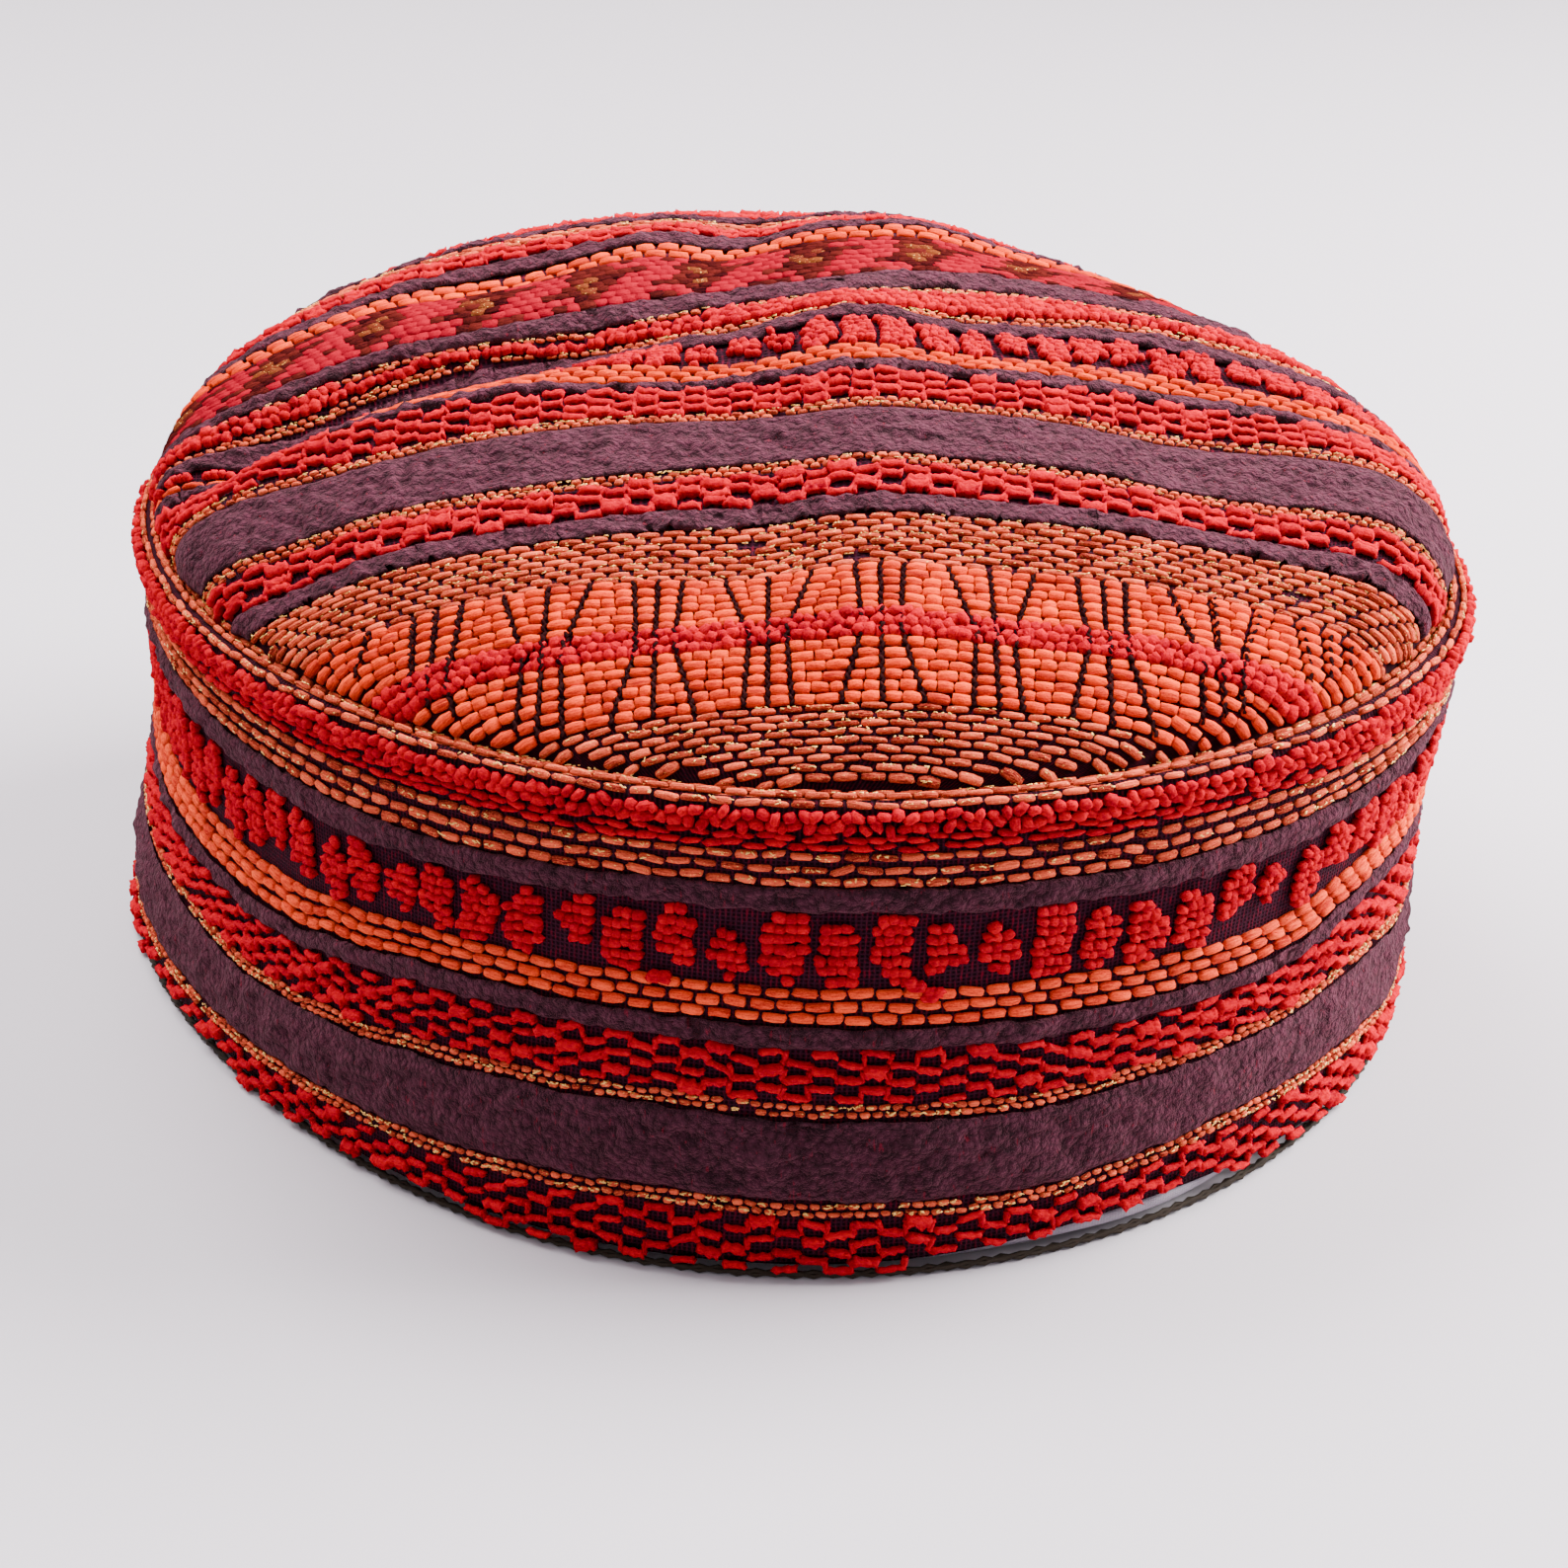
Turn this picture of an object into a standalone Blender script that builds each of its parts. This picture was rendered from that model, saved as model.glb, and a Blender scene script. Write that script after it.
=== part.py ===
"""A brimless woven cap: a striped cloth band, a puffed cloth top, a hem lining and a hem cord.

The cap rests on its hem cord. +Z is up, -Y is the front, and the origin is below the middle of the
cap at the height that it rests on. Sizes are in millimetres and are turned into metres at the end.
"""

import math

import bmesh
import bpy

MM = 0.001
SPOKES = 72

# Heights
CORD_HEIGHT = 1.8
HEM_EDGE = 2.1
RIM_TOP = 62.3
RIM_ROUND = 3.0
DOME_START = 60.9
DOME_RISE = 25.6

# Cloth
BAND_WALL = 2.0
TOP_WALL = 1.8
LINING_WALL = 1.0
FIT_GAP = 0.3
RIM_WIDTH = 3.45
ALLOWANCE_DROP = 6.5

# The rim and the dome are fuller towards the back and the right
DOME_LEAN_X = 3.9
DOME_LEAN_Y = 11.3
LEAN_SPAN = 90.0

# Profile of the dome: how square its shoulder is, and how flat its crown
SHOULDER_POWER = 2.2
CROWN_POWER = 0.45
PUFF_END = 0.9

# Plan outlines: an oval with a little egg shape, about its own centre
HEM_PLAN = dict(x=-0.69, y=-0.66, radius=90.2, oval=0.055, oval_deg=-48.5, egg=0.034, egg_deg=28.5)
RIM_PLAN = dict(x=1.31, y=0.64, radius=91.0, oval=0.081, oval_deg=-53.0, egg=0.015, egg_deg=-1.0)

# Shape round the head, a row for each heading: how far the wall is drawn in at the waist and bulges
# above the hem, how far the rim is drawn in, and how far the top is puffed out over it
SHAPE_COLUMNS = ("heading_deg", "waist", "bulge", "rim_in", "puff")
SHAPE_ROWS = (
    (-180.0, 2.7, 1.0, 0.3, 3.0),
    (-150.0, 2.4, 0.9, 0.0, 1.5),
    (-120.0, 1.2, 0.4, 0.0, 0.5),
    (-90.0, 0.8, 0.3, 0.0, 0.0),
    (-60.0, 0.9, 0.3, 0.0, 0.5),
    (-30.0, 1.5, 0.2, 0.0, 2.0),
    (0.0, 1.9, 0.2, 0.4, 3.2),
    (30.0, 1.6, 0.3, 1.2, 1.8),
    (60.0, 1.0, 0.5, 0.5, 1.0),
    (90.0, 1.0, 0.5, 0.0, 1.0),
    (120.0, 1.2, 0.4, 0.4, 1.5),
    (150.0, 2.0, 0.6, 1.6, 3.5),
)
WAIST_AT = 0.53
BULGE_AT = 0.22
BULGE_SPAN = 0.16

# Folds of the top, a row for each: middle, heading, half length, half width, and height above the
# smooth dome (a crease is below it)
FOLD_COLUMNS = ("name", "x", "y", "heading_deg", "half_length", "half_width", "height")
FOLDS = (
    ("crease at the left rim", -67.0, -3.5, 30.0, 16.0, 6.5, -4.5),
    ("crease towards the middle", -40.0, 4.5, 8.0, 26.0, 6.5, -5.5),
    ("lip in front of the crease", -50.0, -11.0, 18.0, 24.0, 6.0, 1.0),
    ("ridge from front to back", 13.0, -14.0, 93.0, 56.0, 10.0, 1.5),
    ("knuckle at the crease's end", 9.0, 4.0, 25.0, 12.0, 9.0, 1.2),
    ("trough at the right", 55.0, -20.0, 100.0, 34.0, 15.0, -2.4),
    ("hollow at the front left", -62.0, -44.0, 60.0, 12.0, 9.0, -2.0),
    ("hollow at the back left", -38.0, 40.0, 15.0, 16.0, 9.0, -3.0),
    ("dip at the back", -5.0, 46.0, 80.0, 18.0, 8.0, -2.6),
    ("crest at the back", 22.0, 46.0, 90.0, 24.0, 10.0, 1.8),
    ("fullness at the back right", 62.0, 34.0, 140.0, 26.0, 18.0, 0.3),
    ("dimple on the front", -3.0, -53.0, 90.0, 9.0, 8.0, -1.0),
    ("pad on the front left", -27.0, -62.0, 10.0, 12.0, 8.0, 0.9),
    ("pad on the front right", 12.0, -66.0, 0.0, 12.0, 8.0, 0.9),
    ("bulge at the right rim", 80.0, -30.0, 80.0, 16.0, 9.0, 1.3),
)
FOLD_FADE = 0.5

# The hem is lifted a little at the front right, where the lining turns out under it
LIFT_HEADING = -60.0
LIFT_SPREAD = 14.0
LIFT_RISE = 1.7
LIFT_START = 0.25

LINING_TOP = 14.0
LINING_FOOT = 2.2
LINING_BASE = 1.2
CORD_INSET = 0.7

# Half of the cord's section, from the flat that it rests on: reach from its middle, and height
CORD_SECTION = ((0.60, 0.0), (0.98, 0.5), (0.92, 1.2), (0.45, CORD_HEIGHT))

# Where the rings of the band's wall and of the dome lie, as shares of the height and of the radius
WALL_LEVELS = (0.0, 0.09, 0.21, 0.34, 0.48, 0.62, 0.76, 0.89, 1.0)
INNER_LEVELS = (0.76, 0.50, 0.25, 0.0)
DOME_RINGS = (0.986, 0.965, 0.94, 0.905, 0.865, 0.82, 0.77, 0.72, 0.66, 0.60, 0.53, 0.46, 0.38, 0.30, 0.21, 0.11)
RIM_TURNS_DEG = (30.0, 60.0, 90.0, 125.0, 155.0)


def clear_scene():
    """Remove every object that is in the scene."""
    for old in list(bpy.data.objects):
        bpy.data.objects.remove(old, do_unlink=True)


def plan_radius(plan, heading):
    """Radius of an outline at a heading in radians."""
    oval = plan["oval"] * math.cos(2.0 * (heading - math.radians(plan["oval_deg"])))
    egg = plan["egg"] * math.cos(3.0 * (heading - math.radians(plan["egg_deg"])))
    return plan["radius"] * (1.0 + oval + egg)


def table_value(heading, column):
    """A column of SHAPE_ROWS at a heading, eased from row to row round the head."""
    place = SHAPE_COLUMNS.index(column)
    degrees = (math.degrees(heading) + 180.0) % 360.0 - 180.0
    rows = SHAPE_ROWS + ((SHAPE_ROWS[0][0] + 360.0,) + SHAPE_ROWS[0][1:],)
    for low, high in zip(rows, rows[1:]):
        if low[0] <= degrees <= high[0]:
            share = (degrees - low[0]) / (high[0] - low[0])
            ease = 0.5 - 0.5 * math.cos(math.pi * share)
            return low[place] + ease * (high[place] - low[place])
    return rows[0][place]


def rim_radius(heading):
    """Radius of the rim's outer face at a heading."""
    return plan_radius(RIM_PLAN, heading) - table_value(heading, "rim_in")


def hump(distance, spread):
    """A smooth hump of height 1 that fades over about twice its spread."""
    return math.exp(-((distance / spread) ** 2))


def hem_lift(heading):
    """How far the hem is lifted at a heading, from 0 to 1."""
    away = (math.degrees(heading) - LIFT_HEADING + 180.0) % 360.0 - 180.0
    return hump(away, LIFT_SPREAD)


def wall_point(heading, height, inset):
    """A point in the band's wall, inset from its outer face."""
    level = (height - HEM_EDGE) / (RIM_TOP - RIM_ROUND - HEM_EDGE)
    level = min(1.0, max(0.0, level))
    waist = table_value(heading, "waist") * math.sin(math.pi * level ** (math.log(0.5) / math.log(WAIST_AT)))
    bulge = table_value(heading, "bulge") * hump(level - BULGE_AT, BULGE_SPAN)
    hem = plan_radius(HEM_PLAN, heading)
    rim = rim_radius(heading)
    radius = hem + level * (rim - hem) - waist + bulge - inset
    centre_x = HEM_PLAN["x"] + level * (RIM_PLAN["x"] - HEM_PLAN["x"])
    centre_y = HEM_PLAN["y"] + level * (RIM_PLAN["y"] - HEM_PLAN["y"])
    return centre_x + radius * math.cos(heading), centre_y + radius * math.sin(heading), height


def rim_point(heading, turn_deg):
    """A point on the round rim, turn_deg from the wall over the top to the seam."""
    half = RIM_WIDTH / 2.0
    turn = math.radians(turn_deg)
    height = RIM_TOP - RIM_ROUND + RIM_ROUND * math.sin(turn)
    x, y, _ = wall_point(heading, RIM_TOP, half - half * math.cos(turn))
    return x, y, height


def fold_height(x, y):
    """Height of all folds of the top at a place."""
    total = 0.0
    for row in FOLDS:
        fold = dict(zip(FOLD_COLUMNS, row))
        turn = math.radians(fold["heading_deg"])
        along = (x - fold["x"]) * math.cos(turn) + (y - fold["y"]) * math.sin(turn)
        across = (y - fold["y"]) * math.cos(turn) - (x - fold["x"]) * math.sin(turn)
        total += fold["height"] * hump(along, fold["half_length"]) * hump(across, fold["half_width"])
    return total


def dome_point(heading, share):
    """A point on the outside of the dome, at a share of the way from its middle to the seam."""
    full = (1.0 - share ** SHOULDER_POWER) ** CROWN_POWER
    puff = table_value(heading, "puff") * math.sin(math.pi * min(1.0, full / PUFF_END))
    radius = share * (rim_radius(heading) - RIM_WIDTH - FIT_GAP) + puff
    away_x = radius * math.cos(heading)
    away_y = radius * math.sin(heading)
    rise = DOME_RISE + (DOME_LEAN_X * away_x + DOME_LEAN_Y * away_y) / LEAN_SPAN
    x = RIM_PLAN["x"] + away_x
    y = RIM_PLAN["y"] + away_y
    return x, y, DOME_START + rise * full + min(1.0, full / FOLD_FADE) * fold_height(x, y)


def headings():
    """The headings of the sections round the head, in radians."""
    return [2.0 * math.pi * spoke / SPOKES for spoke in range(SPOKES)]


def start_ring(bm, points):
    """A closed ring of edges through the points, a vertex on each spoke."""
    spoke_layer = bm.verts.layers.int.get("spoke") or bm.verts.layers.int.new("spoke")
    made = bmesh.ops.create_circle(bm, cap_ends=False, radius=1.0, segments=SPOKES)["verts"]
    for spoke, vert in enumerate(made):
        vert[spoke_layer] = spoke
        vert.co = [MM * value for value in points[spoke]]
    return list({edge for vert in made for edge in vert.link_edges})


def next_ring(bm, edges, points):
    """Extrude a ring of edges, and move the new ring onto the points."""
    spoke_layer = bm.verts.layers.int["spoke"]
    grown = bmesh.ops.extrude_edge_only(bm, edges=edges)["geom"]
    for vert in (item for item in grown if isinstance(item, bmesh.types.BMVert)):
        vert.co = [MM * value for value in points[vert[spoke_layer]]]
    return [item for item in grown if isinstance(item, bmesh.types.BMEdge)
            and all(end in grown for end in item.verts) and len(item.link_faces) == 1]


def rings_of(section):
    """Turn a function that gives the section at a heading into rings of points."""
    return list(zip(*[section(heading) for heading in headings()]))


def loft_tube(section):
    """Sweep a closed section round the head: the last ring is bridged to the first."""
    bm = bmesh.new()
    rings = rings_of(section)
    first = start_ring(bm, rings[0])
    edges = first
    for points in rings[1:]:
        edges = next_ring(bm, edges, points)
    bmesh.ops.bridge_loops(bm, edges=first + edges)
    return bm


def loft_dome(section, pole):
    """Sweep an open section round the head, and close it at its pole."""
    bm = bmesh.new()
    rings = rings_of(section)
    edges = start_ring(bm, rings[0])
    for points in rings[1:]:
        edges = next_ring(bm, edges, points)
    middle = next_ring(bm, edges, [pole] * SPOKES)
    ends = list({vert for edge in middle for vert in edge.verts})
    bmesh.ops.remove_doubles(bm, verts=ends, dist=0.01 * MM)
    return bm


def band_section(heading):
    """Section of the side band: up its face, over the rim, down the seam allowance and back."""
    base = HEM_EDGE + LIFT_RISE * hem_lift(heading)
    top = RIM_TOP - RIM_ROUND
    leg_end = RIM_TOP - ALLOWANCE_DROP
    outer = [wall_point(heading, base + share * (top - base), 0.0) for share in WALL_LEVELS]
    rim = [rim_point(heading, turn) for turn in RIM_TURNS_DEG]
    leg = [wall_point(heading, DOME_START - FIT_GAP, RIM_WIDTH), wall_point(heading, leg_end, RIM_WIDTH)]
    inner = [wall_point(heading, base + share * (leg_end - base), BAND_WALL) for share in INNER_LEVELS]
    leg_inner = [wall_point(heading, leg_end, BAND_WALL)]
    return outer + rim + leg + leg_inner + inner


def top_section(heading):
    """Outside of the top panel, from the end of its seam allowance to near its middle."""
    reach = RIM_WIDTH + FIT_GAP
    leg = [wall_point(heading, RIM_TOP - ALLOWANCE_DROP, reach), wall_point(heading, DOME_START, reach)]
    return leg + [dome_point(heading, share) for share in DOME_RINGS]


def lining_section(heading):
    """Section of the hem lining: a strip inside the band, turned out where the hem is lifted."""
    lift = hem_lift(heading)
    out = max(0.0, (lift - LIFT_START) / (1.0 - LIFT_START))
    back = BAND_WALL + FIT_GAP
    foot_inset = back - LIFT_RISE * out
    foot_top = max(LINING_FOOT, HEM_EDGE - FIT_GAP + LIFT_RISE * lift)
    step = 0.15
    return [
        wall_point(heading, HEM_EDGE, foot_inset),
        wall_point(heading, foot_top, foot_inset),
        wall_point(heading, foot_top + step, back),
        wall_point(heading, LINING_TOP, back),
        wall_point(heading, LINING_TOP, back + LINING_WALL),
        wall_point(heading, LINING_BASE, back + LINING_WALL),
        wall_point(heading, LINING_BASE, back),
    ]


def cord_section(heading):
    """Section of the hem cord, flat where the cap rests on it."""
    right = [(-reach, height) for reach, height in CORD_SECTION]
    left = [(reach, height) for reach, height in reversed(CORD_SECTION)]
    x, y, _ = wall_point(heading, HEM_EDGE, CORD_INSET)
    points = []
    for reach, height in right + left:
        points.append((x - reach * math.cos(heading), y - reach * math.sin(heading), height))
    return points


def cloth_material(name, colour, roughness):
    """A plain cloth material."""
    material = bpy.data.materials.new(name)
    material.use_nodes = True
    shader = material.node_tree.nodes["Principled BSDF"]
    shader.inputs["Base Color"].default_value = (*colour, 1.0)
    shader.inputs["Roughness"].default_value = roughness
    shader.inputs["Metallic"].default_value = 0.0
    return material


def add_piece(name, bm, material, wall=0.0):
    """Make an object of a mesh, and give an open skin its wall inwards."""
    bmesh.ops.recalc_face_normals(bm, faces=bm.faces)
    mesh = bpy.data.meshes.new(name)
    bm.to_mesh(mesh)
    bm.free()
    mesh.shade_smooth()
    mesh.materials.append(material)
    piece = bpy.data.objects.new(name, mesh)
    bpy.context.scene.collection.objects.link(piece)
    if wall:
        solid = piece.modifiers.new("wall", "SOLIDIFY")
        solid.thickness = wall * MM
        solid.offset = -1.0
        solid.use_even_offset = False
        solid.use_rim = True
    return piece


def build():
    """Build the four pieces."""
    clear_scene()
    crown = (RIM_PLAN["x"], RIM_PLAN["y"],
             DOME_START + DOME_RISE + fold_height(RIM_PLAN["x"], RIM_PLAN["y"]))
    add_piece("side_band", loft_tube(band_section), cloth_material("band_cloth", (0.62, 0.05, 0.03), 0.85))
    add_piece("top_panel", loft_dome(top_section, crown), cloth_material("top_cloth", (0.50, 0.07, 0.05), 0.85),
              wall=TOP_WALL)
    add_piece("hem_lining", loft_tube(lining_section), cloth_material("lining_cloth", (0.28, 0.24, 0.27), 0.8))
    add_piece("hem_cord", loft_tube(cord_section), cloth_material("cord_yarn", (0.06, 0.045, 0.03), 0.8))


build()
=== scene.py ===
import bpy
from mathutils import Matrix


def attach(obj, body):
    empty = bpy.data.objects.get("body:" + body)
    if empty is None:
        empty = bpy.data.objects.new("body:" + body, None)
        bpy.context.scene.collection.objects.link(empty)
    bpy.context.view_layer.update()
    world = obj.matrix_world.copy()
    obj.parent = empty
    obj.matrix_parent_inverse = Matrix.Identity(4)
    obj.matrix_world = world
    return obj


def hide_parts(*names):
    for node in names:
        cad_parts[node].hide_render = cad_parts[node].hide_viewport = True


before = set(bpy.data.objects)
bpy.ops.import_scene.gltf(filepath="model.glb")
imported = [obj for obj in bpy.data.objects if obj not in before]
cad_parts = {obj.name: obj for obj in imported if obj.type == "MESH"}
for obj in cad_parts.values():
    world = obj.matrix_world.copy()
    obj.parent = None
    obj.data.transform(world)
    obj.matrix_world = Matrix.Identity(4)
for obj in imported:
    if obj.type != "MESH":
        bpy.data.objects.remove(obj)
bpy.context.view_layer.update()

import collections
import functools
import math

import bpy
import numpy as np
from mathutils import Quaternion

bl_info = {
    "name": "Striped kufi",
    "version": (1, 0, 0),
    "blender": (4, 5, 0),
    "location": "3D View > Sidebar > Kufi",
    "description": "Makes a striped woven kufi: ground cloth, velvet, yarn floats, hem lining and hem cord",
    "category": "Add Mesh",
}

# Everything below is in millimetres unless its name says otherwise, and is turned into metres where a
# mesh is filled. +Z is up and -Y is the front.
MM = 0.001

# The form of the cap, as its solids have it
HEM_EDGE = 2.1
RIM_TOP = 62.3
RIM_ROUND = 3.0
DOME_START = 60.9
DOME_RISE = 25.6
BAND_WALL = 2.0
TOP_WALL = 1.8
LINING_WALL = 1.0
FIT_GAP = 0.3
RIM_WIDTH = 3.45
ALLOWANCE_DROP = 6.5
DOME_LEAN_X = 3.9
DOME_LEAN_Y = 11.3
LEAN_SPAN = 90.0
SHOULDER_POWER = 2.2
CROWN_POWER = 0.45
PUFF_END = 0.9
HEM_PLAN = dict(x=-0.69, y=-0.66, radius=90.2, oval=0.055, oval_deg=-48.5, egg=0.034, egg_deg=28.5)
RIM_PLAN = dict(x=1.31, y=0.64, radius=91.0, oval=0.081, oval_deg=-53.0, egg=0.015, egg_deg=-1.0)
SHAPE_COLUMNS = ("heading_deg", "waist", "bulge", "rim_in", "puff")
SHAPE_ROWS = (
    (-180.0, 2.7, 1.0, 0.3, 3.0),
    (-150.0, 2.4, 0.9, 0.0, 1.5),
    (-120.0, 1.2, 0.4, 0.0, 0.5),
    (-90.0, 0.8, 0.3, 0.0, 0.0),
    (-60.0, 0.9, 0.3, 0.0, 0.5),
    (-30.0, 1.5, 0.2, 0.0, 2.0),
    (0.0, 1.9, 0.2, 0.4, 3.2),
    (30.0, 1.6, 0.3, 1.2, 1.8),
    (60.0, 1.0, 0.5, 0.5, 1.0),
    (90.0, 1.0, 0.5, 0.0, 1.0),
    (120.0, 1.2, 0.4, 0.4, 1.5),
    (150.0, 2.0, 0.6, 1.6, 3.5),
)
WAIST_AT = 0.53
BULGE_AT = 0.22
BULGE_SPAN = 0.16
FOLD_COLUMNS = ("name", "x", "y", "heading_deg", "half_length", "half_width", "height")
FOLDS = (
    ("crease at the left rim", -67.0, -3.5, 30.0, 16.0, 6.5, -4.5),
    ("crease towards the middle", -40.0, 4.5, 8.0, 26.0, 6.5, -5.5),
    ("lip in front of the crease", -50.0, -11.0, 18.0, 24.0, 6.0, 1.0),
    ("ridge from front to back", 13.0, -14.0, 93.0, 56.0, 10.0, 1.5),
    ("knuckle at the crease's end", 9.0, 4.0, 25.0, 12.0, 9.0, 1.2),
    ("trough at the right", 55.0, -20.0, 100.0, 34.0, 15.0, -2.4),
    ("hollow at the front left", -62.0, -44.0, 60.0, 12.0, 9.0, -2.0),
    ("hollow at the back left", -38.0, 40.0, 15.0, 16.0, 9.0, -3.0),
    ("dip at the back", -5.0, 46.0, 80.0, 18.0, 8.0, -2.6),
    ("crest at the back", 22.0, 46.0, 90.0, 24.0, 10.0, 1.8),
    ("fullness at the back right", 62.0, 34.0, 140.0, 26.0, 18.0, 0.3),
    ("dimple on the front", -3.0, -53.0, 90.0, 9.0, 8.0, -1.0),
    ("pad on the front left", -27.0, -62.0, 10.0, 12.0, 8.0, 0.9),
    ("pad on the front right", 12.0, -66.0, 0.0, 12.0, 8.0, 0.9),
    ("bulge at the right rim", 80.0, -30.0, 80.0, 16.0, 9.0, 1.3),
)
FOLD_FADE = 0.5
LIFT_HEADING = -60.0
LIFT_SPREAD = 14.0
LIFT_RISE = 1.7
LIFT_START = 0.25
LINING_TOP = 14.0
LINING_FOOT = 2.2
LINING_BASE = 1.2
CORD_INSET = 0.7
CORD_HEIGHT = 1.8

WALL_TOP = RIM_TOP - RIM_ROUND

# How far the stripes of the band climb or sink round the head, at five places up the cloth
WAVE_CLIMBS = (9.0, 22.0, 33.0, 50.0, 57.0)
WAVE_ROWS = (
    (-180.0, -2.5, -2.5, -3.8, -0.6, 0.0),
    (-165.0, -3.4, -3.4, -5.6, -1.2, 0.0),
    (-155.0, -3.2, -4.0, -5.7, -1.6, 0.0),
    (-145.0, -2.7, -4.5, -5.7, -2.1, 0.0),
    (-137.0, -2.0, -3.6, -4.9, -2.1, 0.0),
    (-128.0, -1.3, -2.5, -2.5, -2.1, 0.0),
    (-118.0, -0.8, -0.8, -0.4, -1.8, 0.0),
    (-108.0, 0.2, 0.2, 0.3, -0.9, 0.0),
    (-98.0, 1.0, 0.9, 0.6, 0.0, 0.0),
    (-85.0, 0.3, 0.3, 0.2, 0.0, 0.0),
    (-70.0, -0.2, -0.3, -0.3, -0.5, 0.0),
    (-60.0, 0.9, 0.4, -0.7, -1.1, 0.0),
    (-53.0, 1.8, 0.5, -1.2, -1.1, 0.0),
    (-46.0, 1.5, 0.2, -1.2, -1.1, 0.0),
    (-40.0, 0.9, 0.6, 0.6, -0.9, 0.0),
    (-33.0, -0.2, 0.5, 1.6, -0.4, 0.0),
    (-24.0, -2.0, -1.5, 1.8, 0.2, 0.0),
    (-10.0, -1.5, -1.0, 1.0, 0.2, 0.0),
    (20.0, 0.0, 0.0, 0.0, 0.0, 0.0),
    (120.0, 0.4, 0.3, 0.2, 0.0, 0.0),
    (160.0, -1.0, -1.0, -1.5, -0.2, 0.0),
)

# Stripes of the band, each from its lower to its upper edge along the cloth
BAND_STRIPES = (
    ("checks", -1.8, 8.2, 4),
    ("beads", 8.3, 10.4, 2),
    ("velvet", 10.5, 21.3, 0),
    ("beads", 21.4, 23.3, 2),
    ("checks", 23.4, 30.3, 3),
    ("velvet", 30.3, 33.3, 0),
    ("bricks", 33.4, 38.5, 3),
    ("blocks", 38.7, 48.1, 0),
    ("velvet", 48.2, 51.4, 0),
    ("dashes", 51.4, 54.4, 2),
    ("dashes", 54.6, 56.1, 1),
    ("boucle", 56.1, 60.8, 4),
    ("dashes", 60.9, 66.2, 3),
)

# Stripes of the top, from front to back over its middle
TOP_STRIPES = (
    ("dashes", -88.9, -79.9, 9),
    ("fan bricks", -79.9, -70.3, 6),
    ("boucle", -70.3, -66.2, 3),
    ("fan bricks", -66.2, -56.6, 6),
    ("dashes", -56.6, -45.9, 8),
    ("velvet", -45.8, -41.8, 0),
    ("checks", -41.7, -35.1, 3),
    ("beads", -35.0, -32.8, 2),
    ("velvet", -32.7, -20.8, 0),
    ("beads", -20.6, -18.3, 2),
    ("checks", -18.2, -11.5, 3),
    ("velvet", -11.4, -9.1, 0),
    ("bricks", -9.0, -4.2, 3),
    ("blocks", -4.0, 7.0, 0),
    ("velvet", 7.2, 11.8, 0),
    ("beads", 12.0, 14.2, 2),
    ("boucle", 14.4, 21.6, 4),
    ("beads", 21.8, 23.6, 2),
    ("velvet", 23.8, 27.6, 0),
    ("rose", 27.8, 40.4, 8),
    ("bricks", 40.6, 44.8, 2),
    ("velvet", 45.0, 48.6, 0),
    ("checks", 48.8, 53.6, 2),
    ("dashes", 53.8, 58.4, 3),
    ("velvet", 58.6, 62.0, 0),
    ("checks", 62.2, 68.8, 3),
    ("beads", 69.0, 71.0, 2),
    ("velvet", 71.2, 81.0, 0),
    ("dashes", 81.2, 83.4, 2),
    ("boucle", 83.6, 89.0, 5),
)

# Where the edges between the stripes of the top run: the crease at the left swallows some of them. The
# first number of a row is the edge's place over the middle, and the rest are its places at each station.
EDGE_STATIONS = (-69.0, -57.0, -46.0, -35.0, -23.0, -8.0, 10.0, 30.0, 49.0, 66.0)
EDGE_ROWS = (
    (-33.0, -33.0, -33.0, -33.0, -33.0, -33.0, -33.0, -33.0, -33.0, -33.0, -33.0),
    (-20.7, -20.0, -22.0, -19.6, -19.5, -19.2, -21.0, -21.5, -20.5, -20.8, -19.6),
    (-18.2, -18.0, -20.0, -17.6, -17.6, -17.3, -19.6, -18.8, -18.2, -18.1, -16.6),
    (-11.4, -8.5, -10.0, -11.0, -8.5, -10.2, -12.5, -10.8, -11.2, -8.5, -10.2),
    (-9.0, -6.0, -7.5, -8.5, -6.2, -8.0, -10.7, -8.0, -8.1, -5.2, -7.4),
    (-4.1, -4.0, -5.5, -5.5, -0.5, -2.0, -6.6, -4.0, -4.6, -0.5, -2.5),
    (7.1, -2.5, -3.0, -1.0, 2.0, 7.2, -0.5, 3.2, 2.6, 9.0, 4.6),
    (11.9, 0.0, 5.5, 8.5, 10.4, 8.2, 4.8, 7.0, 5.6, 13.2, 10.0),
    (14.3, 1.2, 7.4, 10.0, 10.7, 8.8, 9.4, 7.3, 9.3, 16.4, 13.0),
    (21.7, 4.2, 9.6, 11.2, 11.8, 11.1, 14.2, 11.5, 17.0, 19.8, 18.0),
    (23.7, 5.0, 10.5, 12.0, 12.4, 12.1, 15.0, 13.5, 19.4, 21.0, 20.0),
    (27.7, 8.0, 14.0, 14.4, 15.4, 17.3, 19.8, 20.2, 26.6, 28.0, 27.0),
    (40.5, 21.0, 30.5, 35.4, 33.7, 36.8, 38.0, 38.6, 37.6, 38.5, 38.0),
    (44.9, 27.0, 36.0, 42.5, 44.3, 45.3, 45.2, 46.0, 46.0, 46.0, 44.0),
    (48.7, 31.0, 40.0, 46.0, 49.0, 49.0, 52.5, 50.0, 50.0, 49.0, 48.0),
    (64.0, 60.0, 62.0, 63.0, 64.0, 64.0, 64.0, 64.0, 64.0, 64.0, 64.0),
    (72.0, 72.0, 72.0, 72.0, 72.0, 72.0, 72.0, 72.0, 72.0, 72.0, 72.0),
)
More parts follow.
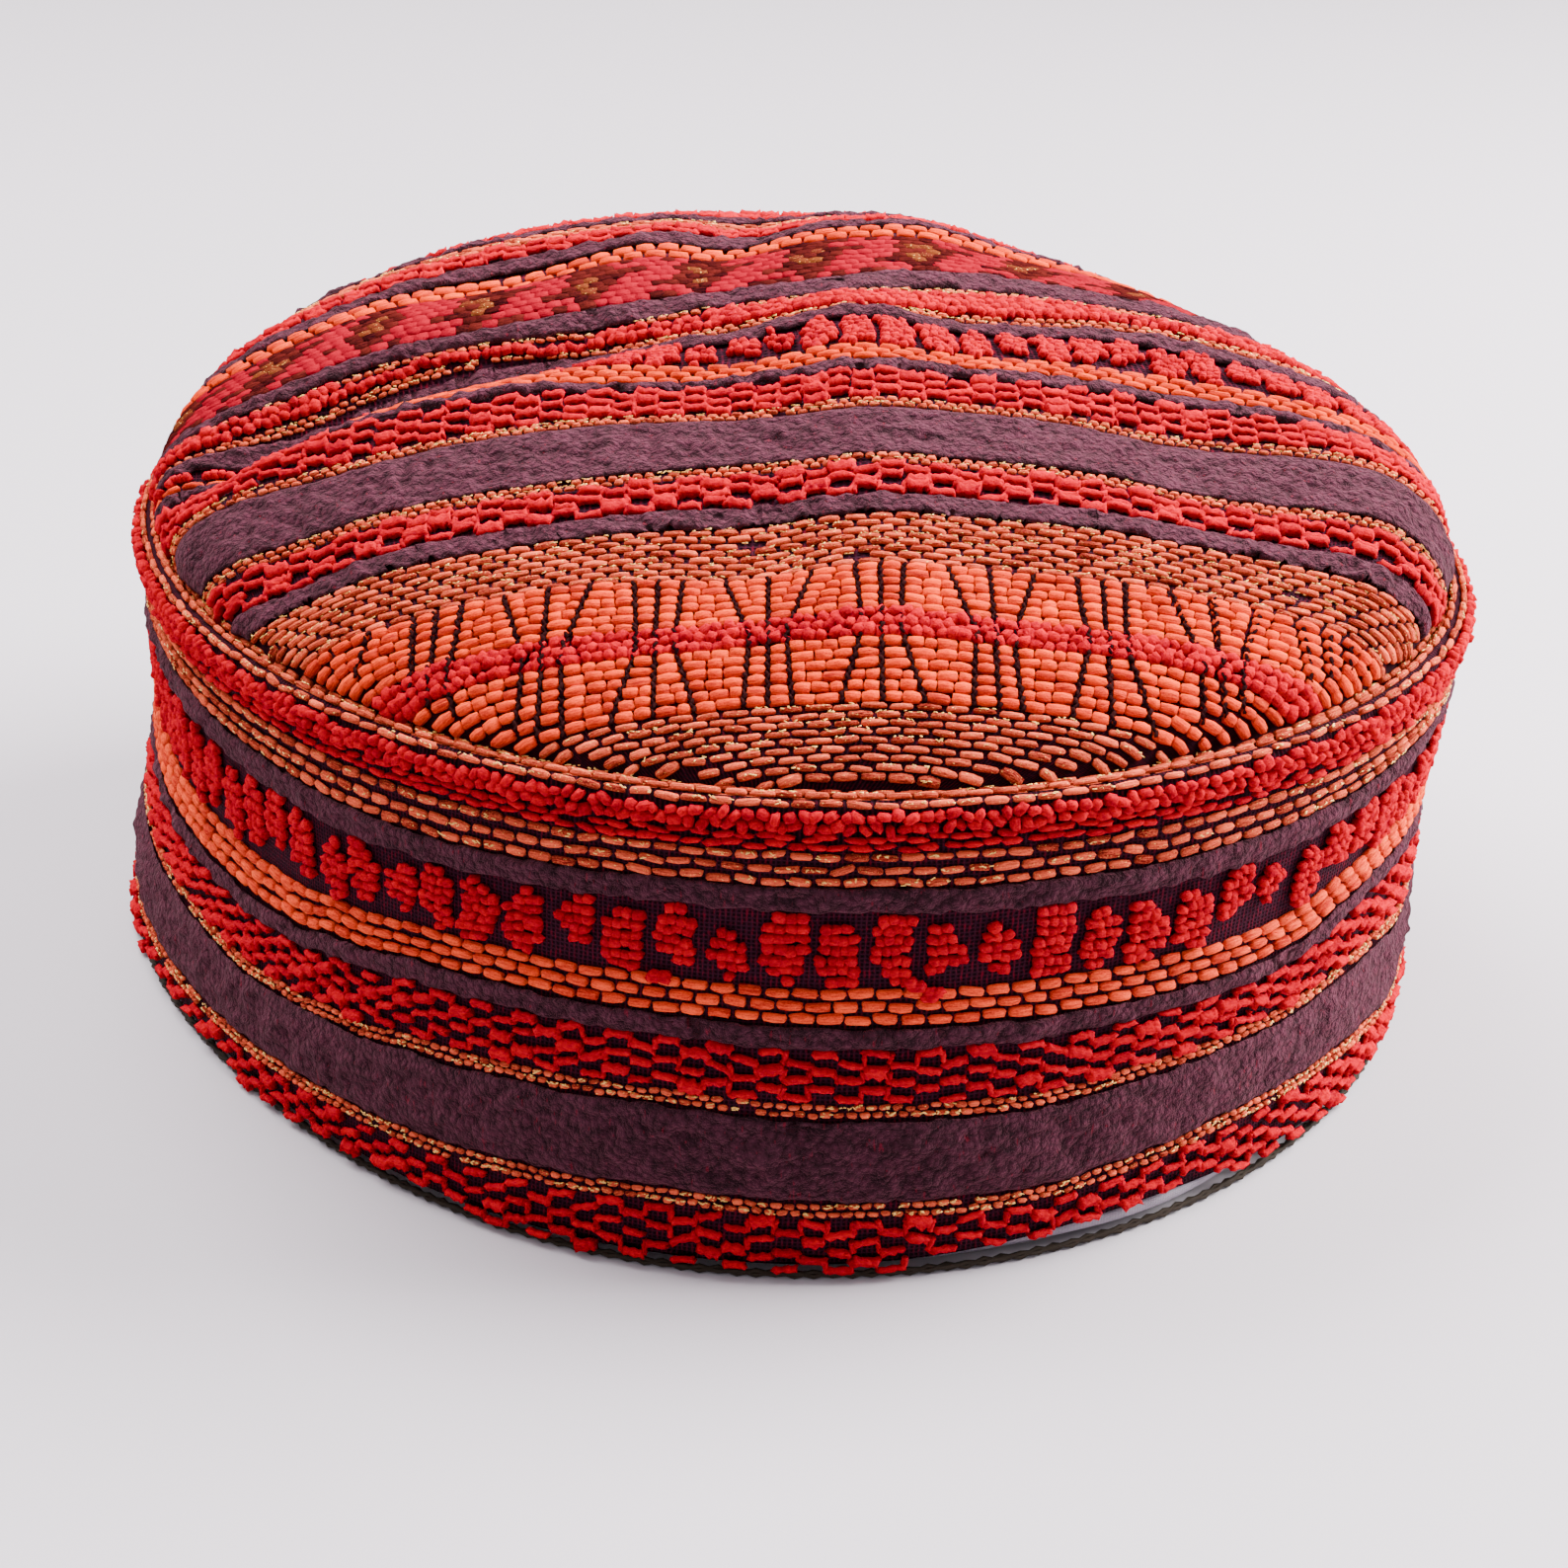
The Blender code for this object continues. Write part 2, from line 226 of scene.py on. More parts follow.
EDGE_LINES = np.array([row[0] for row in EDGE_ROWS])
EDGE_PLACES = np.array([row[1:] for row in EDGE_ROWS])
EDGE_EASE = (-7.0, -3.5, 0.0, 3.5, 7.0)

# Samples along the rows that the floats follow
BAND_GIRTH = 575.0
BAND_SAMPLES = 1440
TOP_SAMPLES = 500
TOP_REACH = 105.0
TOP_SEARCH = 4201
ROW_STEP = 0.5
ROW_END = 0.4
EDGE_SHARE = 0.9995
ARC_X = 8.0
ARC_Y = np.linspace(-88.6, 89.6, 1500)
RIM_STEPS = np.linspace(0.0, math.pi, 90)
RIM_SPEED = np.hypot(RIM_WIDTH / 2.0 * np.sin(RIM_STEPS), RIM_ROUND * np.cos(RIM_STEPS))
RIM_REACH = np.concatenate([[0.0], np.cumsum((RIM_SPEED[1:] + RIM_SPEED[:-1]) / 2.0 * np.diff(RIM_STEPS))])

# Where the cloth is gathered a row loses floats, and the rest keep a width between these shares
CROWDED = 0.6
WIDTH_LIMITS = (0.8, 1.5)

# The seam's own row, and how floats stand to the hem
SEAM_HEIGHT = 61.7
SEAM_TILT = 0.45
SEAM_GAP = 0.2
HEM_HANG = 0.5
HEM_CLEAR = 0.6

# Sections of the ground cloth
BAND_AROUND = 360
BAND_SECTION = 60
BAND_LENGTH = 132.0
OUTER_SHARE = 0.8
RIM_SHARE = 0.42
RIM_BELOW = 3.0
LEG_SHARE = 0.02
BAND_END = WALL_TOP + RIM_REACH[-1] + WALL_TOP - (RIM_TOP - ALLOWANCE_DROP)
TOP_CELLS = 104
TOP_LEG_SHARE = 0.035
TOP_LEG_INSET = 0.2
TOP_SIZE = (182.0, 190.0)
LINING_CORNERS = 14
LINING_GIRTH = 28.0

# Pile of the plum stripes: cell, depth and seed of each kind of lump
PILE_SHARE = 0.9
PILE_BASE = -0.8
PILE_STEP = 0.5
PILE_WAVE = 0.7
PILE_CELL = 1.5
RING_LIMIT = 256
PILE_LUMPS = ((1.45, 0.95, 3), (0.8, 0.5, 5), (5.0, 0.5, 7))

# Stations of the floats: place along, girth and height, for a float one unit long
FLOAT_STATIONS = ((-0.5, 0.5, -0.14), (-0.42, 0.88, -0.02), (0.0, 1.0, 0.0), (0.42, 0.88, -0.02),
                  (0.5, 0.5, -0.14))
BEAD_STATIONS = ((-0.5, 0.5, -0.12), (-0.3, 1.0, 0.0), (0.3, 1.0, 0.0), (0.5, 0.5, -0.12))
GLINT_STATIONS = ((-0.5, 0.6, 0.0), (0.5, 0.6, 0.0))
KNOTTY_STATIONS = ((-0.5, 0.6, -0.1), (-0.36, 1.1, 0.0), (-0.16, 0.8, 0.02), (0.1, 1.05, 0.0),
                   (0.3, 0.8, 0.02), (0.42, 1.05, 0.0), (0.5, 0.6, -0.1))
LOOP_STATIONS = ((-0.5, 0.4, -0.05), (-0.27, 0.95, 0.0), (0.27, 0.95, 0.0), (0.5, 0.4, -0.05))

# Dark threads that fan over the front of the top
FAN_GAP = 0.42
FAN_OFFSETS = (-1, 0, 1)
FAN_NEAR = 2.2
FAN_FAR = 4.2
FAN_LEAN = 1.3
FAN_TURN = 3.1
FAN_TURN_STEP = 1.9
FAN_SPAN = 13.0
FAN_MIDDLE_Y = -69.1
FAN_NUMBERS = range(-6, 7)
FAN_SHIFT = 0.5
FAN_MARGIN = 1.0
FAN_STITCH = 0.7
FAN_RED = 0.8
FAN_RED_REACH = 2.2

# Gold glints, blocks of tufts, and motifs of the rose stripe
GLINTS = 4
GLINT_PATCH = 14.0
BLOCK_PITCH = 6.3
BLOCK_WIDTH = 4.9
TUFT_ROW = 1.3
TOP_BLOCKS = 0.83
BLOCK_STEPS = (0, 0, 0, 1, -1)
CORNER_CUT = 0.6
STRAY_TUFTS = ((-81.5, 37.4), (-83.2, 38.6), (-102.0, 38.2))
ROSE_PITCH = 1.95
MOTIF_PITCH = 15.6
MOTIF_SHIFT = -9.7
MOTIF_REACH = 3.4
LOZENGE_LINE = 0.42

# The braided cord: width and height of a strand, and how far it swings out and up
CORD_STRANDS = 3
STRAND_POINTS = 9
STRAND_SIDES = 6
STRAND_SIZE = (0.56, 0.52)
STRAND_SWING = (0.40, 0.33)
STRAND_SWELL = 1.1
CORD_MIDDLE = 0.66

# Where the orange yarn has its second colour, in metres: size of a patch, and how it grows up the top
YARN_LUMP = 5.0 * MM
TOP_FROM = 55.0 * MM
TOP_DEPTH = 15.0 * MM

# Lights: name, which setting holds its power, size and place in metres, and colour
LIGHTS = (
    ("key_light", "key", 0.55, (0.60, 0.16, 0.46), (1.0, 0.985, 0.97)),
    ("top_light", "top", 0.7, (-0.34, 0.28, 0.80), (1.0, 0.985, 0.98)),
    ("fill_light", "fill", 1.2, (-0.3, -1.1, 0.9), (0.97, 0.97, 1.0)),
)
SKY_COLOUR = (0.95, 0.91, 0.96, 1.0)
FLOOR_SIZE = 12.0
SENSOR_WIDTH = 36.0

Row = collections.namedtuple("Row", "reach point along normal closed middle width")
Shape = collections.namedtuple("Shape", "points faces uvs")


# Form of the cloth

def plan_radius(plan, heading):
    """Radius of an outline at headings in radians."""
    oval = plan["oval"] * np.cos(2.0 * (heading - math.radians(plan["oval_deg"])))
    egg = plan["egg"] * np.cos(3.0 * (heading - math.radians(plan["egg_deg"])))
    return plan["radius"] * (1.0 + oval + egg)


def round_head(heading, rows, place):
    """A column of a table whose rows go round the head, eased from row to row."""
    degrees = (np.degrees(heading) + 180.0) % 360.0 - 180.0
    starts = np.array([row[0] for row in rows] + [rows[0][0] + 360.0])
    values = np.array([row[place] for row in rows] + [rows[0][place]])
    low = np.clip(np.searchsorted(starts, degrees, side="right") - 1, 0, len(rows) - 1)
    share = (degrees - starts[low]) / (starts[low + 1] - starts[low])
    ease = 0.5 - 0.5 * np.cos(math.pi * share)
    return values[low] + ease * (values[low + 1] - values[low])


def shape_value(heading, column):
    """How the cap is shaped at a heading."""
    return round_head(heading, SHAPE_ROWS, SHAPE_COLUMNS.index(column))


def rim_radius(heading):
    """Radius of the rim's outer face at a heading."""
    return plan_radius(RIM_PLAN, heading) - shape_value(heading, "rim_in")


def hump(distance, spread):
    """A smooth hump of height 1 that fades over about twice its spread."""
    return np.exp(-((distance / spread) ** 2))


def hem_lift(heading):
    """How far the hem is lifted at a heading, from 0 to 1."""
    away = (np.degrees(heading) - LIFT_HEADING + 180.0) % 360.0 - 180.0
    return hump(away, LIFT_SPREAD)


def hem_height(heading):
    """Height of the band's lower edge at a heading."""
    return HEM_EDGE + LIFT_RISE * hem_lift(heading)


def wall_point(heading, height, inset):
    """Points in the band's wall, inset from its outer face."""
    level = np.clip((height - HEM_EDGE) / (WALL_TOP - HEM_EDGE), 0.0, 1.0)
    waist = shape_value(heading, "waist") * np.sin(math.pi * level ** (math.log(0.5) / math.log(WAIST_AT)))
    bulge = shape_value(heading, "bulge") * hump(level - BULGE_AT, BULGE_SPAN)
    hem = plan_radius(HEM_PLAN, heading)
    radius = hem + level * (rim_radius(heading) - hem) - waist + bulge - inset
    centre_x = HEM_PLAN["x"] + level * (RIM_PLAN["x"] - HEM_PLAN["x"])
    centre_y = HEM_PLAN["y"] + level * (RIM_PLAN["y"] - HEM_PLAN["y"])
    parts = (centre_x + radius * np.cos(heading), centre_y + radius * np.sin(heading), height + 0.0 * heading)
    return np.stack(np.broadcast_arrays(*parts), -1)


def band_point(heading, climb):
    """Points of the band's outer face, climb along the cloth: up the wall, over the rim, down the seam."""
    over = climb - WALL_TOP
    turn = np.interp(over, RIM_REACH, RIM_STEPS)
    drop = np.maximum(over - RIM_REACH[-1], 0.0)
    half = RIM_WIDTH / 2.0
    spot = wall_point(heading, np.minimum(climb, WALL_TOP), half - half * np.cos(turn))
    spot[..., 2] += RIM_ROUND * np.sin(turn) - drop
    return spot


def fold_height(x, y):
    """Height of all folds of the top at places."""
    total = 0.0
    for row in FOLDS:
        fold = dict(zip(FOLD_COLUMNS, row))
        turn = math.radians(fold["heading_deg"])
        along = (x - fold["x"]) * math.cos(turn) + (y - fold["y"]) * math.sin(turn)
        across = (y - fold["y"]) * math.cos(turn) - (x - fold["x"]) * math.sin(turn)
        total = total + fold["height"] * hump(along, fold["half_length"]) * hump(across, fold["half_width"])
    return total


def dome_point(heading, share):
    """Points on the outside of the dome, at a share of the way from its middle to the seam."""
    full = np.maximum(1.0 - share ** SHOULDER_POWER, 0.0) ** CROWN_POWER
    puff = shape_value(heading, "puff") * np.sin(math.pi * np.minimum(1.0, full / PUFF_END))
    radius = share * (rim_radius(heading) - RIM_WIDTH - FIT_GAP) + puff
    away_x = radius * np.cos(heading)
    away_y = radius * np.sin(heading)
    rise = DOME_RISE + (DOME_LEAN_X * away_x + DOME_LEAN_Y * away_y) / LEAN_SPAN
    x = RIM_PLAN["x"] + away_x
    y = RIM_PLAN["y"] + away_y
    folds = np.minimum(1.0, full / FOLD_FADE) * fold_height(x, y)
    return np.stack([x, y, DOME_START + rise * full + folds], -1)


def dome_place(x, y):
    """Heading and share of the way to the seam, for places of the flat cloth."""
    away_x = x - RIM_PLAN["x"]
    away_y = y - RIM_PLAN["y"]
    heading = np.arctan2(away_y, away_x)
    share = np.hypot(away_x, away_y) / (rim_radius(heading) - RIM_WIDTH - FIT_GAP)
    return heading, share


def unit(vectors):
    """Vectors made one long."""
    return vectors / np.maximum(np.linalg.norm(vectors, axis=-1, keepdims=True), 1e-12)


def dome_frame(x, y):
    """Points and outward normals of the top, for places of the flat cloth."""
    heading, share = dome_place(x, y)
    share = np.clip(share, 0.02, 0.9999)
    turn = 0.004
    step = np.minimum(0.3 * (1.0 - share), 0.004)
    round_it = dome_point(heading + turn, share) - dome_point(heading - turn, share)
    outward = dome_point(heading, share + step) - dome_point(heading, share - step)
    return dome_point(heading, share), unit(np.cross(outward, round_it))


def band_frame(heading, climb):
    """Points and outward normals of the band."""
    turn = 0.002
    step = 0.1
    round_it = band_point(heading + turn, climb) - band_point(heading - turn, climb)
    upward = band_point(heading, climb + step) - band_point(heading, climb - step)
    return band_point(heading, climb), unit(np.cross(round_it, upward))


def stripe_climb(heading, climb):
    """Where a stripe of the band lies, with the rise and fall that it has round the head."""
    heading, climb = np.broadcast_arrays(heading, climb)
    rises = np.stack([round_head(heading, WAVE_ROWS, column + 1) for column in range(len(WAVE_CLIMBS))])
    places = np.array(WAVE_CLIMBS)
    low = np.clip(np.searchsorted(places, climb) - 1, 0, len(places) - 2)
    share = np.clip((climb - places[low]) / (places[low + 1] - places[low]), 0.0, 1.0)
    below = np.take_along_axis(rises, low[None], 0)[0]
    above = np.take_along_axis(rises, low[None] + 1, 0)[0]
    return climb + below + share * (above - below)


def stripe_y(x, y):
    """Where a stripe of the top lies, read between the edges, and eased from station to station."""
    x, y = np.broadcast_arrays(np.asarray(x, float), np.asarray(y, float))
    edges = np.stack([sum(np.interp(x + away, EDGE_STATIONS, places) for away in EDGE_EASE) / len(EDGE_EASE)
                      for places in EDGE_PLACES], -1)
    line = np.clip(np.searchsorted(EDGE_LINES, y) - 1, 0, len(EDGE_LINES) - 2)
    share = (y - EDGE_LINES[line]) / (EDGE_LINES[line + 1] - EDGE_LINES[line])
    low = np.take_along_axis(edges, line[..., None], -1)[..., 0]
    high = np.take_along_axis(edges, line[..., None] + 1, -1)[..., 0]
    inside = (y >= EDGE_LINES[0]) & (y <= EDGE_LINES[-1])
    return np.where(inside, low + share * (high - low), y)


# Rows that the floats follow

def make_row(point, normal, closed, middle=0.0, width=1.0):
    """A row along points of the cloth: its length, direction, normal and share of full width at each."""
    steps = np.linalg.norm(np.diff(point, axis=0), axis=1)
    reach = np.concatenate([[0.0], np.cumsum(steps)])
    if closed:
        ring = np.concatenate([point[-2:-1], point, point[1:2]])
        along = unit(ring[2:] - ring[:-2])
    else:
        along = unit(np.gradient(point, axis=0))
    return Row(reach, point, along, normal, closed, middle, width + 0.0 * reach)


ARC_REACH = make_row(*dome_frame(ARC_X + 0.0 * ARC_Y, ARC_Y), False).reach


def band_headings():
    """Headings of a row's points round the band, from its left side over the front and the back."""
    return np.linspace(-math.pi, math.pi, BAND_SAMPLES + 1)


def band_row(climb):
    """A row round the band, from its left side over the front and the back."""
    heading = band_headings()
    point, normal = band_frame(heading, stripe_climb(heading, climb))
    spread = stripe_climb(heading, climb + ROW_STEP) - stripe_climb(heading, climb - ROW_STEP)
    return make_row(point, normal, True, width=spread / (2.0 * ROW_STEP))


def seam_row():
    """The row in the valley between the rim and the top."""
    heading = band_headings()
    radius = rim_radius(heading) - RIM_WIDTH - SEAM_GAP
    away = np.stack([np.cos(heading), np.sin(heading), 0.0 * heading], -1)
    point = np.array([RIM_PLAN["x"], RIM_PLAN["y"], SEAM_HEIGHT]) + radius[:, None] * away
    return make_row(point, unit(SEAM_TILT * away + np.array([0.0, 0.0, 1.0])), True)


def chord_ends(y):
    """Where a stripe of the top meets the seam at its left and right, or nothing where it misses the top."""
    x = np.linspace(-TOP_REACH, TOP_REACH, TOP_SEARCH)
    _, share = dome_place(x, stripe_y(x, y))
    inside = np.flatnonzero(share < EDGE_SHARE)
    if len(inside) < 2:
        return None
    return x[inside[0]], x[inside[-1]]


def chord_x(ends, swing):
    """Places between two ends, closer together near them, for a swing from -90 to 90 degrees."""
    left, right = ends
    return (left + right) / 2.0 + (right - left) / 2.0 * np.sin(swing)


def top_row(y):
    """A row across the top, from the seam at the left to the seam at the right."""
    ends = chord_ends(y)
    if ends is None:
        return None
    x = chord_x(ends, np.linspace(-math.pi / 2.0, math.pi / 2.0, TOP_SAMPLES))
    point, normal = dome_frame(x, stripe_y(x, y))
    behind, _ = dome_frame(x, stripe_y(x, y + ROW_STEP))
    ahead, _ = dome_frame(x, stripe_y(x, y - ROW_STEP))
    full = np.interp([y - ROW_STEP, y + ROW_STEP], ARC_Y, ARC_REACH)
    width = np.linalg.norm(behind - ahead, axis=1) / max(full[1] - full[0], ROW_STEP)
    row = make_row(point, normal, False, width=width)
    return row._replace(middle=float(np.interp(0.0, x, row.reach)))


def top_span(front, back):
    """Length of the cloth between two edges on the top."""
    low, high = np.interp([front, back], ARC_Y, ARC_REACH)
    return high - low


def spread_rows(front, back, count):
    """Middles of rows that are evenly spaced over the cloth between two edges on the top."""
    low, high = np.interp([front, back], ARC_Y, ARC_REACH)
    return np.interp(low + (np.arange(count) + 0.5) / count * (high - low), ARC_REACH, ARC_Y)


def kind_rows(kind):
    """Rows of the band and of the top that a kind of stripe has, with the pitch from row to row."""
    rows = []
    for stripe, low, high, count in BAND_STRIPES:
        if stripe == kind:
            pitch = (high - low) / count
            for line in range(count):
                rows.append((band_row(low + (line + 0.5) * pitch), line, pitch))
    for stripe, front, back, count in TOP_STRIPES:
        if stripe == kind:
            for line, y in enumerate(spread_rows(front, back, count)):
                row = top_row(y)
                if row is not None:
                    rows.append((row, line, top_span(front, back) / count))
    if kind == "dashes":
        rows.append((seam_row(), 0, RIM_WIDTH / 2.0))
    return rows


def even_places(row, pitch, step):
    """Middles of floats at an even pitch along a row, moved by a share of it, and the pitch that fits."""
    length = row.reach[-1]
    if row.closed:
        count = int(round(BAND_GIRTH / pitch / 2.0)) * 2
        return (np.arange(count) + step) * length / count, length / count
    first = math.ceil((ROW_END - row.middle) / pitch - step)
    last = math.floor((length - ROW_END - row.middle) / pitch - step)
    return row.middle + (np.arange(first, last + 1) + step) * pitch, pitch


def row_width(row, places):
    """Share of its full width that a row has at places along it."""
    return np.interp(places % row.reach[-1] if row.closed else places, row.reach, row.width)


def fit_rows(row, places, line):
    """Which places of a row still have room where the cloth is gathered, and how wide their floats get."""
    width = row_width(row, places)
    share = np.where(width > CROWDED, 1.0, width)
    kept = np.floor((line + 1) * share + 0.5) > np.floor(line * share + 0.5)
    return kept, np.clip(width, *WIDTH_LIMITS)


def float_rows(kind, wanted, bond=0.5):
    """Rows of a kind of stripe, each with its floats' places, their pitch, which of them fit, and width."""
    for row, line, pitch in kind_rows(kind):
        places, step = even_places(row, wanted, bond * (line % 2))
        kept, wide = fit_rows(row, places, line)
        yield row, line, pitch, places, step, kept, wide


def on_row(row, places):
    """Points, directions and normals at places along a row."""
    if row.closed:
        places = places % row.reach[-1]
    columns = (row.point, row.along, row.normal)
    return [np.stack([np.interp(places, row.reach, line) for line in column.T], -1) for column in columns]


def above_hem(row, places):
    """Which places along a row lie above the hem, or hang over it a little where it isn't lifted."""
    point, _, _ = on_row(row, places)
    heading = np.arctan2(point[:, 1], point[:, 0])
    return point[:, 2] > hem_height(heading) - HEM_HANG + (HEM_HANG + HEM_CLEAR) * hem_lift(heading)


def scatter(rng, count, turn, shift, tone, lean=0.0):
    """Random turns, shifts and tones of floats."""
    return dict(turn=rng.normal(lean, turn, count), shift=rng.normal(0.0, shift, count),
                tone=rng.normal(*tone, count))


# Modelling helpers

def start_clean():
    """Leave edit mode and deselect everything."""
    if bpy.context.object and bpy.context.object.mode != "OBJECT":
        bpy.ops.object.mode_set(mode="OBJECT")
    bpy.ops.object.select_all(action="DESELECT")


def edit_all(action, **ways):
    """Use one edit mode tool on the whole of the active mesh."""
    bpy.ops.object.mode_set(mode="EDIT")
    bpy.ops.mesh.select_all(action="SELECT")
    action(**ways)
    bpy.ops.object.mode_set(mode="OBJECT")


def get_points(mesh):
    """Points of a mesh, as it holds them."""
    flat = np.empty(3 * len(mesh.vertices))
    mesh.vertices.foreach_get("co", flat)
    return flat.reshape(-1, 3)


def name_piece(name):
    """Name the active object and its mesh."""
    piece = bpy.context.object
    piece.name = name
    piece.data.name = name
    return piece


def take_shape(piece):
    """Keep a modelled float's points and faces, with a UV along and around it, and remove its object."""
    mesh = piece.data
    points = np.array([vert.co[:] for vert in mesh.vertices])
    faces = [tuple(face.vertices) for face in mesh.polygons]
    around = np.arctan2(points[:, 1], points[:, 2]) / (2.0 * math.pi)
    bpy.data.objects.remove(piece, do_unlink=True)
    bpy.data.meshes.remove(mesh)
    return Shape(points, faces, np.stack([points[:, 0], around], -1))


def model_float(sides, stations):
    """Model one yarn float along X, one unit long, wide and high, by extruding a ring from end to end."""
    start_clean()
    first, *others = stations
    bpy.ops.mesh.primitive_circle_add(vertices=sides, radius=0.5, fill_type="NGON",
                                      rotation=(0.0, math.pi / 2.0, 0.0), location=(first[0], 0.0, first[2]))
    piece = bpy.context.object
    bpy.ops.object.transform_apply(location=True, rotation=True, scale=True)
    bpy.ops.object.mode_set(mode="EDIT")
    bpy.ops.mesh.select_all(action="SELECT")
    bpy.ops.transform.resize(value=(1.0, first[1], first[1]), center_override=(first[0], 0.0, first[2]))
    last = first
    for place, girth, height in others:
        bpy.ops.mesh.extrude_region_move(
            TRANSFORM_OT_translate={"value": (place - last[0], 0.0, height - last[2])})
        bpy.ops.transform.resize(value=(1.0, girth / last[1], girth / last[1]),
                                 center_override=(place, 0.0, height))
        last = (place, girth, height)
    bpy.ops.mesh.select_all(action="SELECT")
    bpy.ops.mesh.normals_make_consistent(inside=False)
    bpy.ops.object.mode_set(mode="OBJECT")
    return take_shape(piece)


def lay(shape, row, places, size, rng, **ways):
    """Copy a float along a row, bent to the cloth. Ways: turn, shift, lift, rough and tone."""
    count = len(places)
    sizes = np.stack([np.broadcast_to(value, count) for value in size], -1)
    local = shape.points[None] * sizes[:, None, :]
    rough = ways.get("rough", 0.0)
    if rough:
        local = local * (1.0 + rng.normal(0.0, rough, local.shape[:2] + (1,)))
    turn = np.broadcast_to(ways.get("turn", 0.0), count)[:, None]
    along = local[..., 0] * np.cos(turn) - local[..., 1] * np.sin(turn)
    across = local[..., 0] * np.sin(turn) + local[..., 1] * np.cos(turn)
    across = across + np.broadcast_to(ways.get("shift", 0.0), count)[:, None]
    height = local[..., 2] + np.broadcast_to(ways.get("lift", 0.0), count)[:, None]
    point, ahead, normal = on_row(row, places[:, None] + along)
    side = np.cross(normal, ahead)
    spots = point + across[..., None] * side + height[..., None] * normal
    start = rng.uniform(0.0, 200.0, (count, 1, 1))
    uvs = shape.uvs[None] * np.stack([sizes[:, 0], 2.0 * (sizes[:, 1] + sizes[:, 2])], -1)[:, None, :] + start
    tones = np.broadcast_to(ways.get("tone", 0.5), count)
    return spots, uvs, np.clip(tones, 0.0, 1.0)


def join_floats(name, shape, laid, smooth=True):
    """Join laid floats into one mesh, with a UV map and a tone for each."""
    spots = np.concatenate([batch[0] for batch in laid])
    uvs = np.concatenate([batch[1] for batch in laid])
    tones = np.concatenate([batch[2] for batch in laid])
    copies, corners = spots.shape[:2]
    loops = np.concatenate([np.array(face) for face in shape.faces])
    all_loops = (loops[None] + corners * np.arange(copies)[:, None]).ravel()
    all_sizes = np.tile([len(face) for face in shape.faces], copies)
    mesh = bpy.data.meshes.new(name)
    mesh.vertices.add(copies * corners)
    mesh.vertices.foreach_set("co", (MM * spots).astype(np.float32).ravel())
    mesh.loops.add(len(all_loops))
    mesh.loops.foreach_set("vertex_index", all_loops.astype(np.int32))
    mesh.polygons.add(len(all_sizes))
    starts = np.concatenate([[0], np.cumsum(all_sizes)[:-1]])
    mesh.polygons.foreach_set("loop_start", starts.astype(np.int32))
    mesh.update(calc_edges=True)
    layer = mesh.uv_layers.new(name="yarn")
    layer.uv.foreach_set("vector", uvs.reshape(-1, 2)[all_loops].astype(np.float32).ravel())
    tone = mesh.attributes.new("tone", "FLOAT", "POINT")
    tone.data.foreach_set("value", np.repeat(tones, corners).astype(np.float32))
    if smooth:
        mesh.shade_smooth()
    piece = bpy.data.objects.new(name, mesh)
    bpy.context.scene.collection.objects.link(piece)
    return piece


def noise_at(u, v, cell, seed):
    """Smooth seeded noise from 0 to 1, with about one lump to a cell."""
    table = np.random.default_rng(seed).random((256, 256))
    u = u / cell
    v = v / cell
    column = np.floor(u).astype(int)
    line = np.floor(v).astype(int)
    ease_u, ease_v = [share * share * (3.0 - 2.0 * share) for share in (u - column, v - line)]
    here, across = column % 256, (column + 1) % 256
    low, high = line % 256, (line + 1) % 256
    near = table[here, low] * (1 - ease_u) + table[across, low] * ease_u
    far = table[here, high] * (1 - ease_u) + table[across, high] * ease_u
    return near * (1 - ease_v) + far * ease_v


def finish_mapped(piece, spots, uv_size):
    """Move a mesh to its places, turn its faces outwards, smooth it, and size its UV map in millimetres."""
    mesh = piece.data
    mesh.vertices.foreach_set("co", (MM * spots).ravel())
    layer = mesh.uv_layers[0]
    layer.name = "cloth"
    uvs = np.empty(2 * len(layer.uv))
    layer.uv.foreach_get("vector", uvs)
    layer.uv.foreach_set("vector", (uvs.reshape(-1, 2) * np.array(uv_size)).ravel())
    edit_all(bpy.ops.mesh.normals_make_consistent, inside=False)
    mesh.shade_smooth()
    mesh.update()
    return piece


def round_share(side, out, section):
    """Share of the way round a section, at one of its corners."""
    share = np.arctan2(side, out) / (2.0 * math.pi) % 1.0
    return np.round(share * section) / section % 1.0


def map_ring(name, around, section, place, uv_size, cuts=0):
    """A closed ring of cloth or cord: a torus whose points are moved by place(turn, share of the section)."""
    start_clean()
    bpy.ops.mesh.primitive_torus_add(major_radius=1.0, minor_radius=0.25, major_segments=around // (cuts + 1),
                                     minor_segments=section // (cuts + 1))
    piece = name_piece(name)
    if cuts:
        edit_all(bpy.ops.mesh.subdivide, number_cuts=cuts)
    x, y, z = get_points(piece.data).T
    share = round_share(z, np.hypot(x, y) - 1.0, section)
    return finish_mapped(piece, place(np.arctan2(y, x), share), uv_size)


def map_strip(name, along, section, place, uv_size):
    """A strip closed at both ends: a ball whose points are moved by place(share along, share round)."""
    start_clean()
    bpy.ops.mesh.primitive_uv_sphere_add(segments=section, ring_count=along, radius=1.0)
    piece = name_piece(name)
    x, y, z = get_points(piece.data).T
    reach = np.arcsin(np.clip(z, -1.0, 1.0)) / math.pi + 0.5
    return finish_mapped(piece, place(reach, round_share(y, x, section)), uv_size)


def declare(piece, finish, slot, *nodes):
    """Give a piece its finish and its body, and hide the solids that it stands for; its slot is not used."""
    if not piece.data.materials:
        piece.data.materials.append(finish)
    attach(piece, "root")
    if nodes:
        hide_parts(*nodes)


# Finishes

